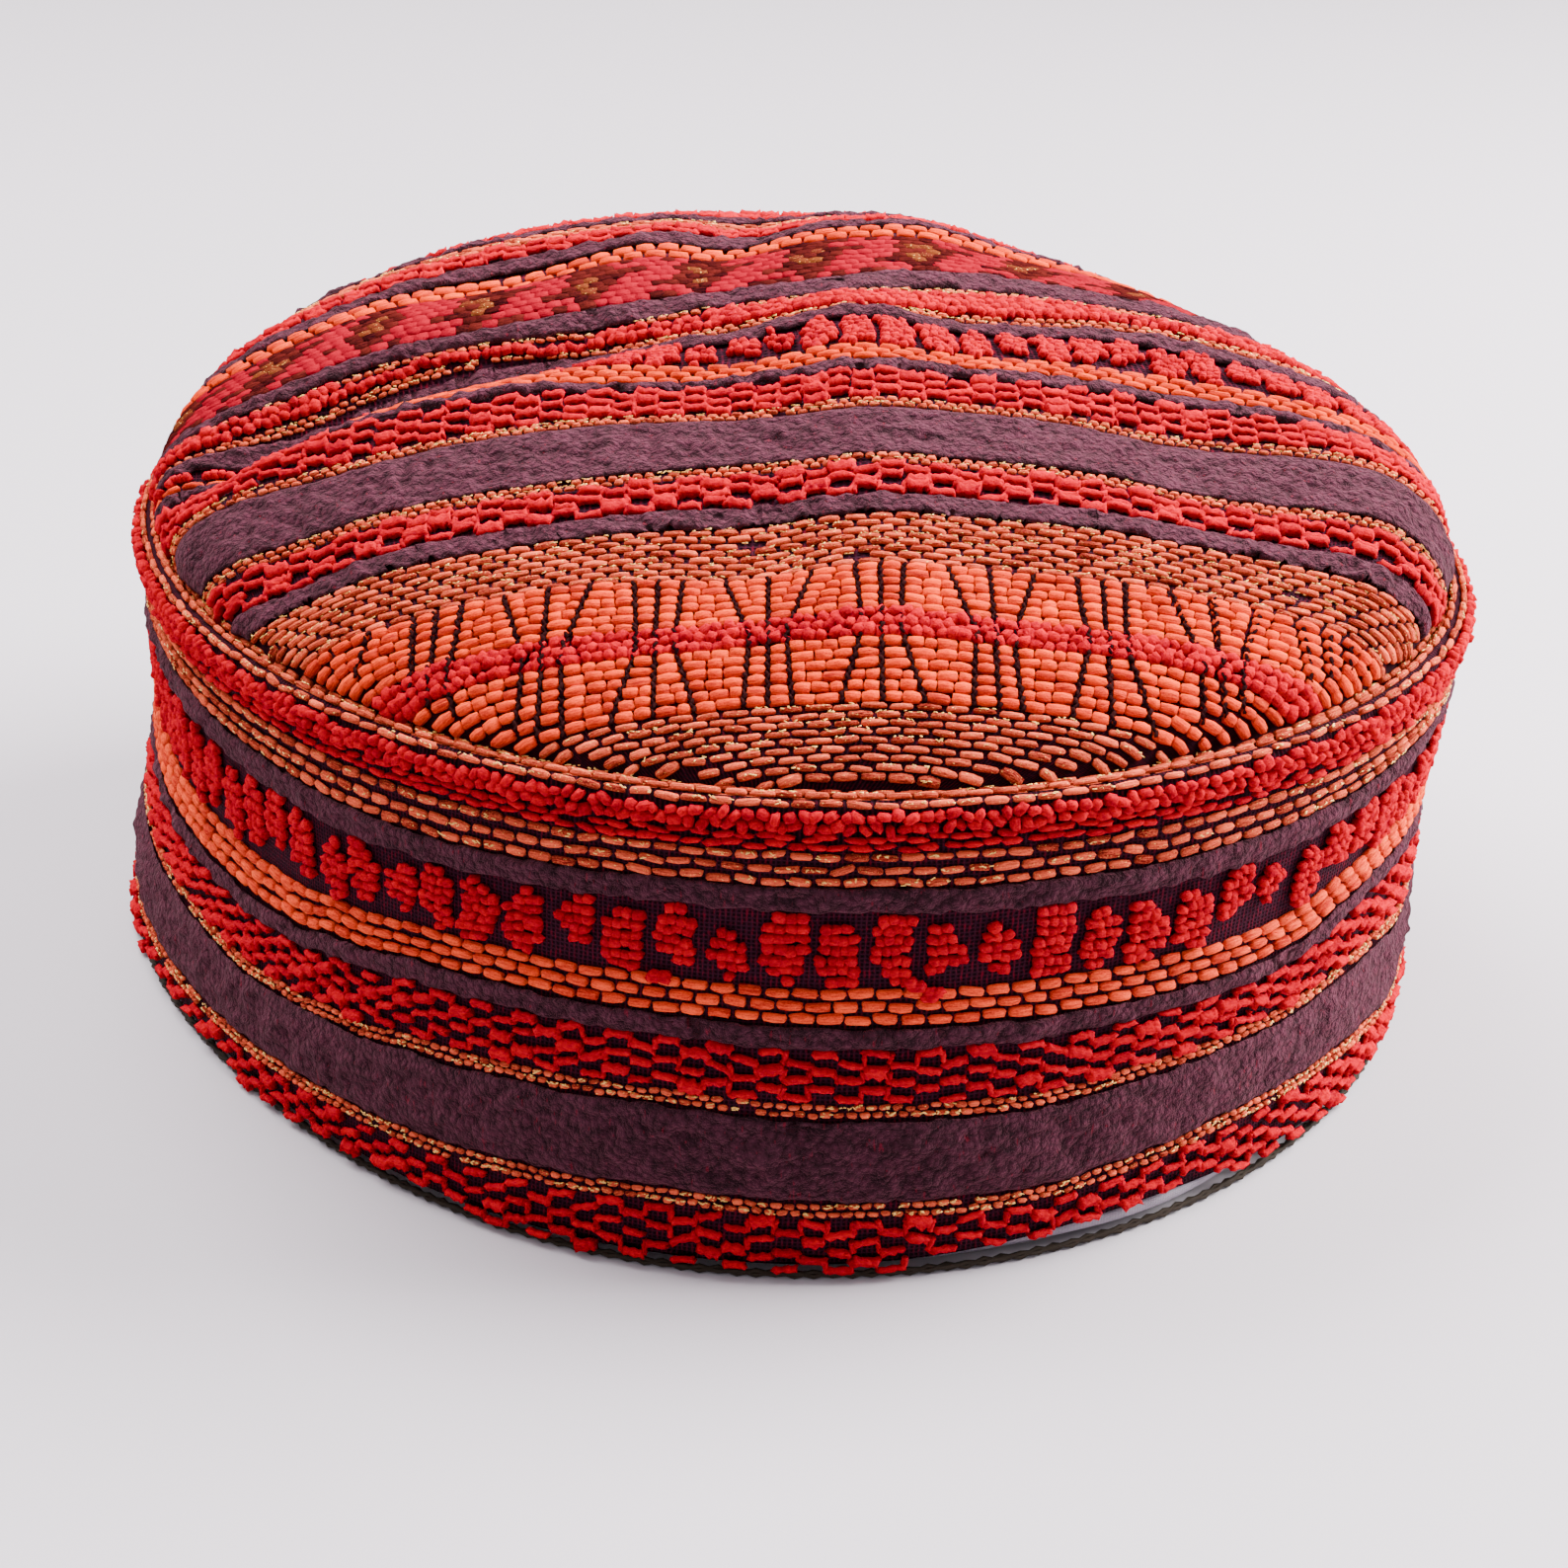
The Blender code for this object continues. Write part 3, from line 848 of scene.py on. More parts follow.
def add_node(tree, kind, settings=None, inputs=None):
    """Add a node, set it up, and set or link its inputs by name or number."""
    made = tree.nodes.new(kind)
    for name, value in (settings or {}).items():
        setattr(made, name, value)
    for name, value in (inputs or {}).items():
        if isinstance(value, bpy.types.NodeSocket):
            tree.links.new(value, made.inputs[name])
        else:
            made.inputs[name].default_value = value
    return made


def mix_colour(tree, factor, first, second):
    """Mix two colours."""
    made = add_node(tree, "ShaderNodeMix", dict(data_type="RGBA"), {0: factor, 6: first, 7: second})
    return made.outputs[2]


def calc(tree, operation, first, second=0.5, clamp=False):
    """A step of arithmetic in a finish."""
    made = add_node(tree, "ShaderNodeMath", dict(operation=operation, use_clamp=clamp), {0: first, 1: second})
    return made.outputs[0]


def stand_out(tree, value, level, gain):
    """How far a value stands above a level, times a gain, from 0 to 1."""
    return calc(tree, "MULTIPLY", calc(tree, "SUBTRACT", value, level), gain, clamp=True)


def weigh(tree, first, first_weight, second, second_weight):
    """Two values with their weights, added."""
    return calc(tree, "ADD", calc(tree, "MULTIPLY", first, first_weight),
                calc(tree, "MULTIPLY", second, second_weight))


def object_place(tree):
    """Place on the object itself, in metres."""
    return add_node(tree, "ShaderNodeTexCoord").outputs["Object"]


def uv_place(tree, name):
    """Place on a UV map, in millimetres."""
    return add_node(tree, "ShaderNodeUVMap", dict(uv_map=name)).outputs[0]


def stretch(tree, place, scale, turn_deg=0.0):
    """A place turned and stretched."""
    return add_node(tree, "ShaderNodeMapping", None, {
        "Vector": place, "Rotation": (0.0, 0.0, math.radians(turn_deg)), "Scale": scale}).outputs[0]


def noise(tree, place, scale, detail=2.0, roughness=0.5, output=0):
    """Soft lumps over a surface; output 1 is their colour."""
    return add_node(tree, "ShaderNodeTexNoise", None, {
        "Vector": place, "Scale": scale, "Detail": detail, "Roughness": roughness}).outputs[output]


def thread_waves(tree, place, pitches, **inputs):
    """Threads both ways at their pitches, as bands."""
    return [add_node(tree, "ShaderNodeTexWave", dict(wave_type="BANDS", bands_direction=direction), {
        "Vector": place, "Scale": math.pi / 10.0 / pitch, **inputs}).outputs[1]
        for direction, pitch in zip("XY", pitches)]


def new_finish(name):
    """A new node material with its shader."""
    finish = bpy.data.materials.new(name)
    finish.use_nodes = True
    return finish, finish.node_tree, finish.node_tree.nodes["Principled BSDF"]


def set_surface(tree, shader, colour, height, bump, values, strength=1.0):
    """Link a colour and a bump in millimetres to a shader, and set its other values."""
    relief = add_node(tree, "ShaderNodeBump", None, {
        "Strength": strength, "Distance": bump * MM, "Height": height})
    tree.links.new(colour, shader.inputs["Base Color"])
    tree.links.new(relief.outputs[0], shader.inputs["Normal"])
    for name, value in values.items():
        shader.inputs[name].default_value = value


def opaque(colour):
    """A colour with full cover."""
    return (*colour, 1.0)



def patch_share(tree):
    """Where the yarn has its second colour: in scattered patches, and more and more towards the top."""
    place = object_place(tree)
    patch = stand_out(tree, noise(tree, place, 1.0 / YARN_LUMP, 1.0), 0.64, 9.0)
    height = add_node(tree, "ShaderNodeSeparateXYZ", None, {0: place}).outputs[2]
    height = calc(tree, "DIVIDE", calc(tree, "SUBTRACT", height, TOP_FROM), TOP_DEPTH, clamp=True)
    return calc(tree, "ADD", calc(tree, "MULTIPLY", patch, 0.8), height, clamp=True)


def yarn_finish(name, light, dark, **ways):
    """Spun yarn: fibres twisted along each float, tones from float to float, a soft fuzz, and painted shade
    in the twist's grooves and the fuzz's hollows.

    Ways: twist_deg, fibre_along, fibre_across, fuzz_scale, fuzz_tone, fibre_depth, fuzz_depth, bump, sheen
    and glow are numbers, and patch and fleck are colours.
    """
    finish, tree, shader = new_finish(name)
    place = uv_place(tree, "yarn")
    fibres = (ways.get("fibre_along", 0.6), ways.get("fibre_across", 2.6), 1.0)
    fibre = noise(tree, stretch(tree, place, fibres, ways.get("twist_deg", 22.0)), 1.0, 4.0, 0.65)
    fuzz = noise(tree, place, ways.get("fuzz_scale", 3.5), 3.0, 0.7)
    tone = add_node(tree, "ShaderNodeAttribute", dict(attribute_name="tone")).outputs[2]
    # The shade colour goes where the fibre and fuzz are low, which is also where the bump sinks. This is
    # painted shade in the twist and between loops, with random tone from float to float on top.
    mottle_and_shade = calc(tree, "ADD", fibre, calc(tree, "MULTIPLY", fuzz, ways.get("fuzz_tone", 0.6)))
    shade = calc(tree, "SUBTRACT", weigh(tree, mottle_and_shade, 2.4, tone, 0.7), 1.72, clamp=True)
    bright = opaque(light)
    if "patch" in ways:
        bright = mix_colour(tree, patch_share(tree), bright, opaque(ways["patch"]))
    colour = mix_colour(tree, shade, opaque(dark), bright)
    values = {"Sheen Weight": ways.get("sheen", 0.0), "Sheen Roughness": 0.45, "Sheen Tint": opaque(light),
              "Specular IOR Level": 0.0, "Subsurface Weight": ways.get("glow", 0.0),
              "Subsurface Radius": (1.0, 0.2, 0.2), "Subsurface Scale": 0.8 * MM}
    if "fleck" in ways:
        spark = stand_out(tree, noise(tree, place, 2.6, 2.0, 0.6), 0.63, 12.0)
        colour = mix_colour(tree, spark, colour, opaque(ways["fleck"]))
        tree.links.new(calc(tree, "MULTIPLY", spark, 0.85), shader.inputs["Metallic"])
        dulled = calc(tree, "SUBTRACT", 0.8, calc(tree, "MULTIPLY", spark, 0.5))
        tree.links.new(dulled, shader.inputs["Roughness"])
    else:
        values["Roughness"] = 0.85
    height = weigh(tree, fibre, ways.get("fibre_depth", 0.7), fuzz, ways.get("fuzz_depth", 0.5))
    set_surface(tree, shader, colour, height, ways.get("bump", 0.4), values)
    return finish


def red_finish(name):
    """Bright red chenille."""
    c = colours()
    return yarn_finish(name, c.red, c.red_dark, twist_deg=60.0, fibre_along=1.6, fibre_across=1.6,
                       fuzz_scale=2.2, fuzz_depth=0.9, fibre_depth=0.5, bump=0.5, glow=0.5)


def velvet_finish(name, light, dark, warp):
    """Chenille pile: soft clumps with painted shade between them, a random mottle, and a few red warp threads
    that show through.
    """
    finish, tree, shader = new_finish(name)
    place = object_place(tree)
    drift = noise(tree, place, 1.0 / (1.1 * MM), 3.0, 0.6, output=1)
    moved = add_node(tree, "ShaderNodeVectorMath", dict(operation="MULTIPLY_ADD"),
                     {0: drift, 1: (0.5 * MM,) * 3, 2: place}).outputs[0]
    cells = add_node(tree, "ShaderNodeTexVoronoi", None, {"Vector": moved, "Scale": 1.0 / (0.95 * MM)})
    clumps = calc(tree, "SUBTRACT", 1.0, cells.outputs[0])
    fine = noise(tree, place, 1.0 / (0.35 * MM), 2.0, 0.7)
    broad = noise(tree, place, 1.0 / (6.0 * MM), 2.0, 0.6)
    mottle_and_shade = weigh(tree, clumps, 1.3, fine, 1.2)
    shade = calc(tree, "ADD", mottle_and_shade, calc(tree, "MULTIPLY", broad, 0.9))
    shade = calc(tree, "SUBTRACT", shade, 1.3, clamp=True)
    # The shade colour falls between the clumps, where the bump is low, as painted shade. The fine and broad
    # noise add random tone.
    colour = mix_colour(tree, shade, opaque(dark), opaque(light))
    threads = stretch(tree, place, (1.0 / (0.5 * MM), 1.0 / (0.5 * MM), 1.0 / (2.2 * MM)))
    thread = stand_out(tree, noise(tree, threads, 1.0, 1.0), 0.68, 14.0)
    colour = mix_colour(tree, calc(tree, "MULTIPLY", thread, 0.6), colour, opaque(warp))
    set_surface(tree, shader, colour, mottle_and_shade, 0.6, {
        "Roughness": 0.95, "Specular IOR Level": 0.1, "Sheen Weight": 0.18, "Sheen Roughness": 0.5,
        "Sheen Tint": opaque((0.80, 0.22, 0.32))})
    return finish


def glint_finish(name, gold):
    """Bright facets of gold metal thread."""
    finish, tree, shader = new_finish(name)
    spread = noise(tree, object_place(tree), 1.0 / (0.8 * MM))
    dull = tuple(0.7 * value for value in gold)
    tree.links.new(mix_colour(tree, spread, opaque(dull), opaque(gold)), shader.inputs["Base Color"])
    tree.links.new(calc(tree, "MULTIPLY", spread, 0.6), shader.inputs["Roughness"])
    shader.inputs["Metallic"].default_value = 0.5
    return finish


def mesh_finish(name, ground, thread, warp):
    """Open ground weave: fine threads both ways, with red and violet warp showing in flecks."""
    finish, tree, shader = new_finish(name)
    place = uv_place(tree, "cloth")
    waves = thread_waves(tree, place, (0.62, 0.55), **{"Distortion": 0.6, "Detail": 1.0, "Detail Scale": 1.5})
    threads = calc(tree, "MAXIMUM", *waves)
    fleck = stand_out(tree, noise(tree, stretch(tree, place, (2.6, 0.9, 1.0)), 1.0, 2.0, 0.6), 0.48, 5.0)
    colour = mix_colour(tree, threads, opaque(ground), opaque(thread))
    share = calc(tree, "MULTIPLY", calc(tree, "MULTIPLY", fleck, waves[0]), 0.8)
    colour = mix_colour(tree, share, colour, opaque(warp))
    set_surface(tree, shader, colour, threads, 0.3, {"Roughness": 0.9, "Specular IOR Level": 0.05})
    return finish


def reverse_finish(name, stops, axis):
    """Back of the striped cloth: the same stripes in long loose floats, muted and mixed with the ground."""
    finish, tree, shader = new_finish(name)
    place = object_place(tree)
    level = add_node(tree, "ShaderNodeSeparateXYZ", None, {0: place}).outputs[axis]
    low = stops[0][0]
    high = stops[-1][0]
    wobble = calc(tree, "SUBTRACT", noise(tree, place, 1.0 / (6.0 * MM)), 0.5)
    level = calc(tree, "ADD", level, calc(tree, "MULTIPLY", wobble, 2.0 * MM))
    level = calc(tree, "DIVIDE", calc(tree, "SUBTRACT", level, low * MM), (high - low) * MM, clamp=True)
    ramp = add_node(tree, "ShaderNodeValToRGB", None, {0: level})
    ramp.color_ramp.interpolation = "CONSTANT"
    elements = ramp.color_ramp.elements
    elements[0].color = opaque(stops[0][1])
    elements.remove(elements[1])
    for height, colour in stops[1:]:
        made = elements.new((height - low) / (high - low))
        made.color = opaque(colour)
    streaks = noise(tree, place, 1.0 / (0.9 * MM), 4.0, 0.7)
    share = calc(tree, "MULTIPLY", streaks, 0.9)
    colour = mix_colour(tree, share, ramp.outputs[0], opaque((0.03, 0.012, 0.015)))
    set_surface(tree, shader, colour, streaks, 0.4, {"Roughness": 0.9, "Specular IOR Level": 0.2}, 0.8)
    return finish


def cotton_finish(name, light, dark):
    """Plain cotton: a fine even weave with a little slub."""
    finish, tree, shader = new_finish(name)
    place = uv_place(tree, "cloth")
    threads = calc(tree, "MULTIPLY", *thread_waves(tree, place, (0.4, 0.4), Distortion=0.4))
    slub = noise(tree, place, 0.8, 4.0)
    slub = calc(tree, "MULTIPLY", slub, 0.6)
    shade = calc(tree, "ADD", calc(tree, "MULTIPLY", threads, 0.5), slub, clamp=True)
    colour = mix_colour(tree, shade, opaque(dark), opaque(light))
    set_surface(tree, shader, colour, threads, 0.15, {"Roughness": 0.85}, 0.5)
    return finish


def cord_finish(name, light, dark):
    """Dark cord yarn: fibres along each strand."""
    finish, tree, shader = new_finish(name)
    fibre = noise(tree, stretch(tree, uv_place(tree, "cloth"), (0.9, 5.0, 1.0)), 1.0, 4.0, 0.65)
    colour = mix_colour(tree, fibre, opaque(dark), opaque(light))
    set_surface(tree, shader, colour, fibre, 0.15, {"Roughness": 0.8, "Specular IOR Level": 0.15}, 0.7)
    return finish


# What a user would change

def colour_property(name, what, value):
    """A colour in a group of settings."""
    return bpy.props.FloatVectorProperty(name=name, description=what, default=value, subtype="COLOR", size=3,
                                         min=0.0, max=1.0)


def length_property(name, what, value):
    """A length in a group of settings, in millimetres."""
    return bpy.props.FloatProperty(name=name, description=what + ", in millimetres", default=value, min=0.0,
                                   precision=2)


def power_property(name, what, value):
    """A light's strength in a group of settings."""
    return bpy.props.FloatProperty(name=name, description=what, default=value, min=0.0)


class KufiColours(bpy.types.PropertyGroup):
    """Colours of the yarns and cloths."""

    # The shade colours are partly painted shade: the yarn and velvet finishes lay them in the low places of
    # the twist, fuzz and clumps, mixed with random tone. The back of the cloth also takes some of them as its
    # own muted colours.
    red: colour_property("Red", "Bright red chenille", (0.53, 0.0005, 0.012))
    red_dark: colour_property("Red shade", "Red chenille between its loops", (0.25, 0.0005, 0.009))
    orange: colour_property("Orange", "Orange yarn", (0.94, 0.084, 0.022))
    orange_dark: colour_property("Orange shade", "Orange yarn in its twist", (0.32, 0.013, 0.010))
    amber: colour_property("Amber", "Yellower orange yarn on the top", (0.86, 0.056, 0.003))
    tan: colour_property("Tan", "Terracotta yarn with gold thread", (0.84, 0.110, 0.048))
    tan_dark: colour_property("Tan shade", "Terracotta yarn in its twist", (0.13, 0.007, 0.007))
    gold: colour_property("Gold", "Gold metal thread", (1.0, 0.56, 0.13))
    purple: colour_property("Purple", "Plum chenille pile", (0.058, 0.012, 0.025))
    purple_dark: colour_property("Purple shade", "Plum pile between its clumps", (0.006, 0.001, 0.003))
    ground: colour_property("Ground", "Dark ground weave", (0.004, 0.0005, 0.002))
    thread: colour_property("Ground thread", "Threads of the ground weave", (0.030, 0.005, 0.014))
    warp: colour_property("Warp", "Red warp that shows in the ground", (0.15, 0.001, 0.012))
    rose: colour_property("Rose", "Rose pile of the wide stripe at the back", (0.27, 0.003, 0.014))
    rose_dark: colour_property("Rose shade", "Rose pile between its floats", (0.12, 0.001, 0.006))
    brown: colour_property("Brown", "Dark brown motif yarn", (0.090, 0.010, 0.008))
    motif: colour_property("Motif", "Golden brown motif yarn", (0.15, 0.035, 0.010))
    fan: colour_property("Fan thread", "Dark threads that fan over the orange", (0.030, 0.008, 0.008))
    lining: colour_property("Lining", "Mauve grey cotton lining", (0.27, 0.23, 0.28))
    cord: colour_property("Cord", "Dark olive cord", (0.030, 0.020, 0.013))


class KufiWeave(bpy.types.PropertyGroup):
    """Sizes of the weave."""

    ground_depth: length_property("Ground depth", "Depth of the ground weave below the cloth's face", 0.55)
    brick_pitch: length_property("Brick pitch", "Pitch of the orange floats along a row", 3.3)
    lens_pitch: length_property("Lens pitch", "Length of the orange floats between the fan threads", 2.25)
    dash_pitch: length_property("Dash pitch", "Pitch of the terracotta floats along a row", 3.2)
    bead_pitch: length_property("Bead pitch", "Pitch of the small gold and terracotta floats", 1.55)
    check_pitch: length_property("Check width", "Width of a column of red checks", 3.15)
    pile: length_property("Pile", "Height of the plum pile above the ground", 1.0)
    fan_pitch: length_property("Fan pitch", "Distance from one fan of dark threads to the next", 13.3)
    cord_turn: length_property("Cord turn", "Length of one turn of the cord's strands", 5.0)
    gold_share: bpy.props.FloatProperty(name="Gold share", description="Share of floats with gold glints",
                                        default=0.42, min=0.0, max=1.0, subtype="FACTOR")


class KufiStage(bpy.types.PropertyGroup):
    """Camera, lights and floor."""

    elevation: bpy.props.FloatProperty(name="Elevation", description="Camera's angle above the floor",
                                       default=math.radians(24.66), subtype="ANGLE")
    roll: bpy.props.FloatProperty(name="Roll", description="Camera's turn about its own axis",
                                  default=math.radians(0.24), subtype="ANGLE")
    distance: bpy.props.FloatProperty(name="Distance", description="Camera's distance from its target",
                                      default=0.5064, unit="LENGTH")
    target: bpy.props.FloatVectorProperty(name="Target", description="Point that the camera looks at", size=3,
                                          default=(0.00243, -0.00138, 0.0226), subtype="TRANSLATION")
    lens: bpy.props.FloatProperty(name="Lens", description="Focal length in millimetres", default=82.7)
    key: power_property("Key light", "Power of the light behind at the right", 38.0)
    top: power_property("Top light", "Power of the light above and behind", 26.0)
    fill: power_property("Fill light", "Power of the light in front", 0.6)
    sky: power_property("Sky", "Strength of the even light all round", 1.05)
    floor: colour_property("Floor", "Pale floor", (0.475, 0.435, 0.475))


def colours():
    """The colours that are set."""
    return bpy.context.scene.kufi_colours


def weave():
    """The weave sizes that are set."""
    return bpy.context.scene.kufi_weave


# Pieces

def band_section(turn, share):
    """The band's section: up the outer face, over the rim, down the allowance, and down the inner face."""
    base = hem_height(turn)
    wall_end = WALL_TOP - RIM_BELOW
    climb = np.interp(share, (0.0, RIM_SHARE, OUTER_SHARE), (0.0, 1.0, 2.0))
    over = wall_end + (climb - 1.0) * (BAND_END - wall_end)
    outer = np.where(climb < 1.0, base + climb * (wall_end - base), over)
    spot, normal = band_frame(turn, outer)
    spot = spot - weave().ground_depth * normal
    inner_share = np.clip((share - OUTER_SHARE - LEG_SHARE) / (1.0 - OUTER_SHARE - LEG_SHARE), 0.0, 1.0)
    leg_end = RIM_TOP - ALLOWANCE_DROP
    inner = wall_point(turn, leg_end + inner_share * (base - leg_end), BAND_WALL)
    return np.where((share > OUTER_SHARE)[:, None], inner, spot)


def reverse_stops(stripes):
    """Colours of the back of the cloth, stripe by stripe."""
    c = colours()
    tint = {"checks": c.red_dark, "beads": c.tan_dark, "velvet": c.purple, "bricks": c.orange_dark,
            "fan bricks": c.orange_dark, "blocks": c.red_dark, "dashes": c.tan_dark, "boucle": c.red,
            "rose": c.rose_dark}
    return [(low, tuple(tint[kind])) for kind, low, _, _ in stripes] + [(stripes[-1][2], tuple(c.thread))]


class KUFI_OT_band_cloth(bpy.types.Operator):
    """Make the ground cloth of the band: wall, rolled rim, seam allowance and inner face"""

    bl_idname = "kufi.band_cloth"
    bl_label = "Band cloth"

    def execute(self, context):
        """Map a ring onto the band's section, with the back of the weave inside."""
        piece = map_ring("band_cloth", BAND_AROUND, BAND_SECTION, band_section, (BAND_GIRTH, BAND_LENGTH))
        c = colours()
        piece.data.materials.append(mesh_finish("band_ground", c.ground, c.thread, c.warp))
        piece.data.materials.append(reverse_finish("band_reverse", reverse_stops(BAND_STRIPES), 2))
        for face in piece.data.polygons:
            outward = face.normal.x * face.center.x + face.normal.y * face.center.y
            face.material_index = int(outward < 0.0 and face.center.z < (RIM_TOP - ALLOWANCE_DROP) * MM)
        declare(piece, None, "striped_cloth", "side_band")
        return {"FINISHED"}


def top_section(x, y):
    """Places of a square grid on the ground cloth of the top: a disc on the dome, its edge turned down."""
    disc_x = x * np.sqrt(1.0 - y * y / 2.0)
    disc_y = y * np.sqrt(1.0 - x * x / 2.0)
    heading = np.arctan2(disc_y, disc_x)
    reach = np.clip(np.hypot(disc_x, disc_y), 0.0, 1.0)
    share = np.sin(np.clip(reach / (1.0 - TOP_LEG_SHARE), 0.0, 1.0) * math.pi / 2.0)
    inset = RIM_WIDTH + FIT_GAP
    flat_x = RIM_PLAN["x"] + share * (rim_radius(heading) - inset) * np.cos(heading)
    flat_y = RIM_PLAN["y"] + share * (rim_radius(heading) - inset) * np.sin(heading)
    spot, normal = dome_frame(flat_x, flat_y)
    spot = spot - weave().ground_depth * normal
    leg = np.clip((reach - (1.0 - TOP_LEG_SHARE)) / TOP_LEG_SHARE, 0.0, 1.0)
    leg_foot = DOME_START - RIM_TOP + ALLOWANCE_DROP
    down = wall_point(heading, DOME_START - leg * leg_foot, inset + TOP_LEG_INSET)
    return np.where((leg > 0.0)[:, None], down, spot)


class KUFI_OT_top_cloth(bpy.types.Operator):
    """Make the ground cloth of the puffed top with its folds and its seam allowance"""

    bl_idname = "kufi.top_cloth"
    bl_label = "Top cloth"

    def execute(self, context):
        """Map a square grid onto the dome, turn its edge down, and give it its wall."""
        start_clean()
        bpy.ops.mesh.primitive_grid_add(x_subdivisions=TOP_CELLS, y_subdivisions=TOP_CELLS, size=2.0)
        piece = name_piece("top_cloth")
        x, y, _ = get_points(piece.data).T
        finish_mapped(piece, top_section(x, y), TOP_SIZE)
        wall = piece.modifiers.new("wall", "SOLIDIFY")
        wall.thickness = (TOP_WALL - weave().ground_depth) * MM
        wall.offset = -1.0
        wall.material_offset = 1
        wall.use_even_offset = False
        bpy.ops.object.modifier_apply(modifier=wall.name)
        c = colours()
        piece.data.materials.append(mesh_finish("top_ground", c.ground, c.thread, c.warp))
        piece.data.materials.append(reverse_finish("top_reverse", reverse_stops(TOP_STRIPES), 1))
        declare(piece, None, "top_cloth", "top_panel")
        return {"FINISHED"}


def pile_height(across, along, cross):
    """Height of the pile at a share across its strip, with soft clumps."""
    edge = 1.0 - np.abs(2.0 * across - 1.0) ** 5
    lumps = sum(depth * (noise_at(along, cross, cell, seed) - 0.5) for cell, depth, seed in PILE_LUMPS)
    return (weave().pile - weave().ground_depth) * np.sqrt(np.clip(edge, 0.0, 1.0)) + lumps * edge


def pile_across(share):
    """Share across the strip's top for a share round its section, and whether it is on the underside."""
    return np.clip(share / PILE_SHARE, 0.0, 1.0), share > PILE_SHARE


def pile_wave(along, across, number):
    """Waviness of the nearer edge of a plum stripe."""
    return PILE_WAVE * (noise_at(along, 20.0 * np.round(across), PILE_CELL, number) - 0.5)


def band_pile(turn, share, low, high, number):
    """Places of the pile of a plum stripe on the band."""
    across, under = pile_across(share)
    level = np.where(under, (low + high) / 2.0, low + across * (high - low))
    climb = stripe_climb(turn, level + pile_wave(BAND_GIRTH * (turn / 6.28 + 1.0), across, number))
    spot, normal = band_frame(turn, climb)
    place = BAND_GIRTH * (turn + math.pi) / (2.0 * math.pi)
    return spot + np.where(under, PILE_BASE, pile_height(across, place, climb))[:, None] * normal


def top_pile(reach, share, front, back, number):
    """Places of the pile of a plum stripe on the top, which sinks into the cloth at its two ends."""
    across, under = pile_across(share)
    lines = np.where(under, (front + back) / 2.0, front + across * (back - front))
    spots = np.empty((len(reach), 3))
    for line in np.unique(lines):
        chosen = lines == line
        x = chord_x(chord_ends(line), (reach[chosen] - 0.5) * math.pi)
        spot, normal = dome_frame(x, stripe_y(x, line) + pile_wave(x + 200.0, across[chosen], number))
        fade = np.minimum(1.0, 40.0 * np.minimum(reach[chosen], 1.0 - reach[chosen]))
        height = pile_height(across[chosen], spot[:, 0] + 100.0, spot[:, 1] + 100.0)
        height = np.where(under[chosen], PILE_BASE, height * fade + PILE_BASE * (1.0 - fade))
        spots[chosen] = spot + height[:, None] * normal
    return spots


class KUFI_OT_velvet(bpy.types.Operator):
    """Make the raised plum chenille stripes of the band and of the top"""

    bl_idname = "kufi.velvet"
    bl_label = "Velvet stripes"

    def execute(self, context):
        """Map a ring onto each stripe of the band, and a strip onto each stripe of the top."""
        c = colours()
        finish = velvet_finish("plum_velvet", c.purple, c.purple_dark, c.warp)
        for number, (kind, low, high, _) in enumerate(BAND_STRIPES):
            if kind == "velvet":
                place = functools.partial(band_pile, low=low, high=high, number=number)
                section = 2 * int(round((high - low) / PILE_STEP / PILE_SHARE / 2.0) + 1)
                size = (BAND_GIRTH, high - low)
                piece = map_ring(f"band_velvet_{number}", 2 * RING_LIMIT, section, place, size, 1)
                declare(piece, finish, "striped_cloth")
        for number, (kind, front, back, _) in enumerate(TOP_STRIPES):
            if kind == "velvet":
                place = functools.partial(top_pile, front=front, back=back, number=number)
                width = top_span(front, back)
                section = int(round(width / PILE_STEP / PILE_SHARE)) + 1
                left, right = chord_ends((front + back) / 2.0)
                along = int(1.15 * (right - left) / PILE_STEP)
                piece = map_strip(f"top_velvet_{number}", along, section, place, (right - left, width))
                declare(piece, finish, "top_cloth")
        return {"FINISHED"}


def fan_x(number, offset, y):
    """Where a thread of a fan lies across the top, at a place from front to back."""
    away = np.abs(y - FAN_MIDDLE_Y) / FAN_SPAN
    lean = FAN_LEAN * math.sin(FAN_TURN * number + FAN_TURN_STEP * offset) * (y - FAN_MIDDLE_Y) / FAN_SPAN
    return FAN_SHIFT + number * weave().fan_pitch + offset * (FAN_NEAR + (FAN_FAR - FAN_NEAR) * away) + lean


def fan_crossings(y, row):
    """Places along a row of the top where dark threads cross it, with the row's own ends."""
    x = row.point[:, 0]
    spots = [ROW_END, row.reach[-1] - ROW_END]
    for number in FAN_NUMBERS:
        for offset in FAN_OFFSETS:
            at = float(fan_x(number, offset, y))
            if x[0] + FAN_MARGIN < at < x[-1] - FAN_MARGIN:
                spots.append(float(np.interp(at, x, row.reach)))
    return sorted(spots)


def lay_lens_row(shape, row, pitch, y, rng):
    """Lay a row of orange floats between the dark threads."""
    laid = []
    stops = fan_crossings(y, row)
    for start, end in zip(stops, stops[1:]):
        room = end - start - FAN_GAP
        if room < 0.5:
            continue
        count = max(1, int(round(room / weave().lens_pitch)))
        parts = rng.uniform(0.7, 1.3, count)
        parts = parts / parts.sum() * room
        middles = start + FAN_GAP / 2.0 + np.cumsum(parts) - parts / 2.0
        size = (parts * 0.97, pitch * rng.uniform(0.8, 1.0, count), rng.uniform(1.1, 1.4, count))
        laid.append(lay(shape, row, middles, size, rng, rough=0.06,
                        **scatter(rng, count, 0.06, 0.1, (0.5, 0.25))))
    return laid


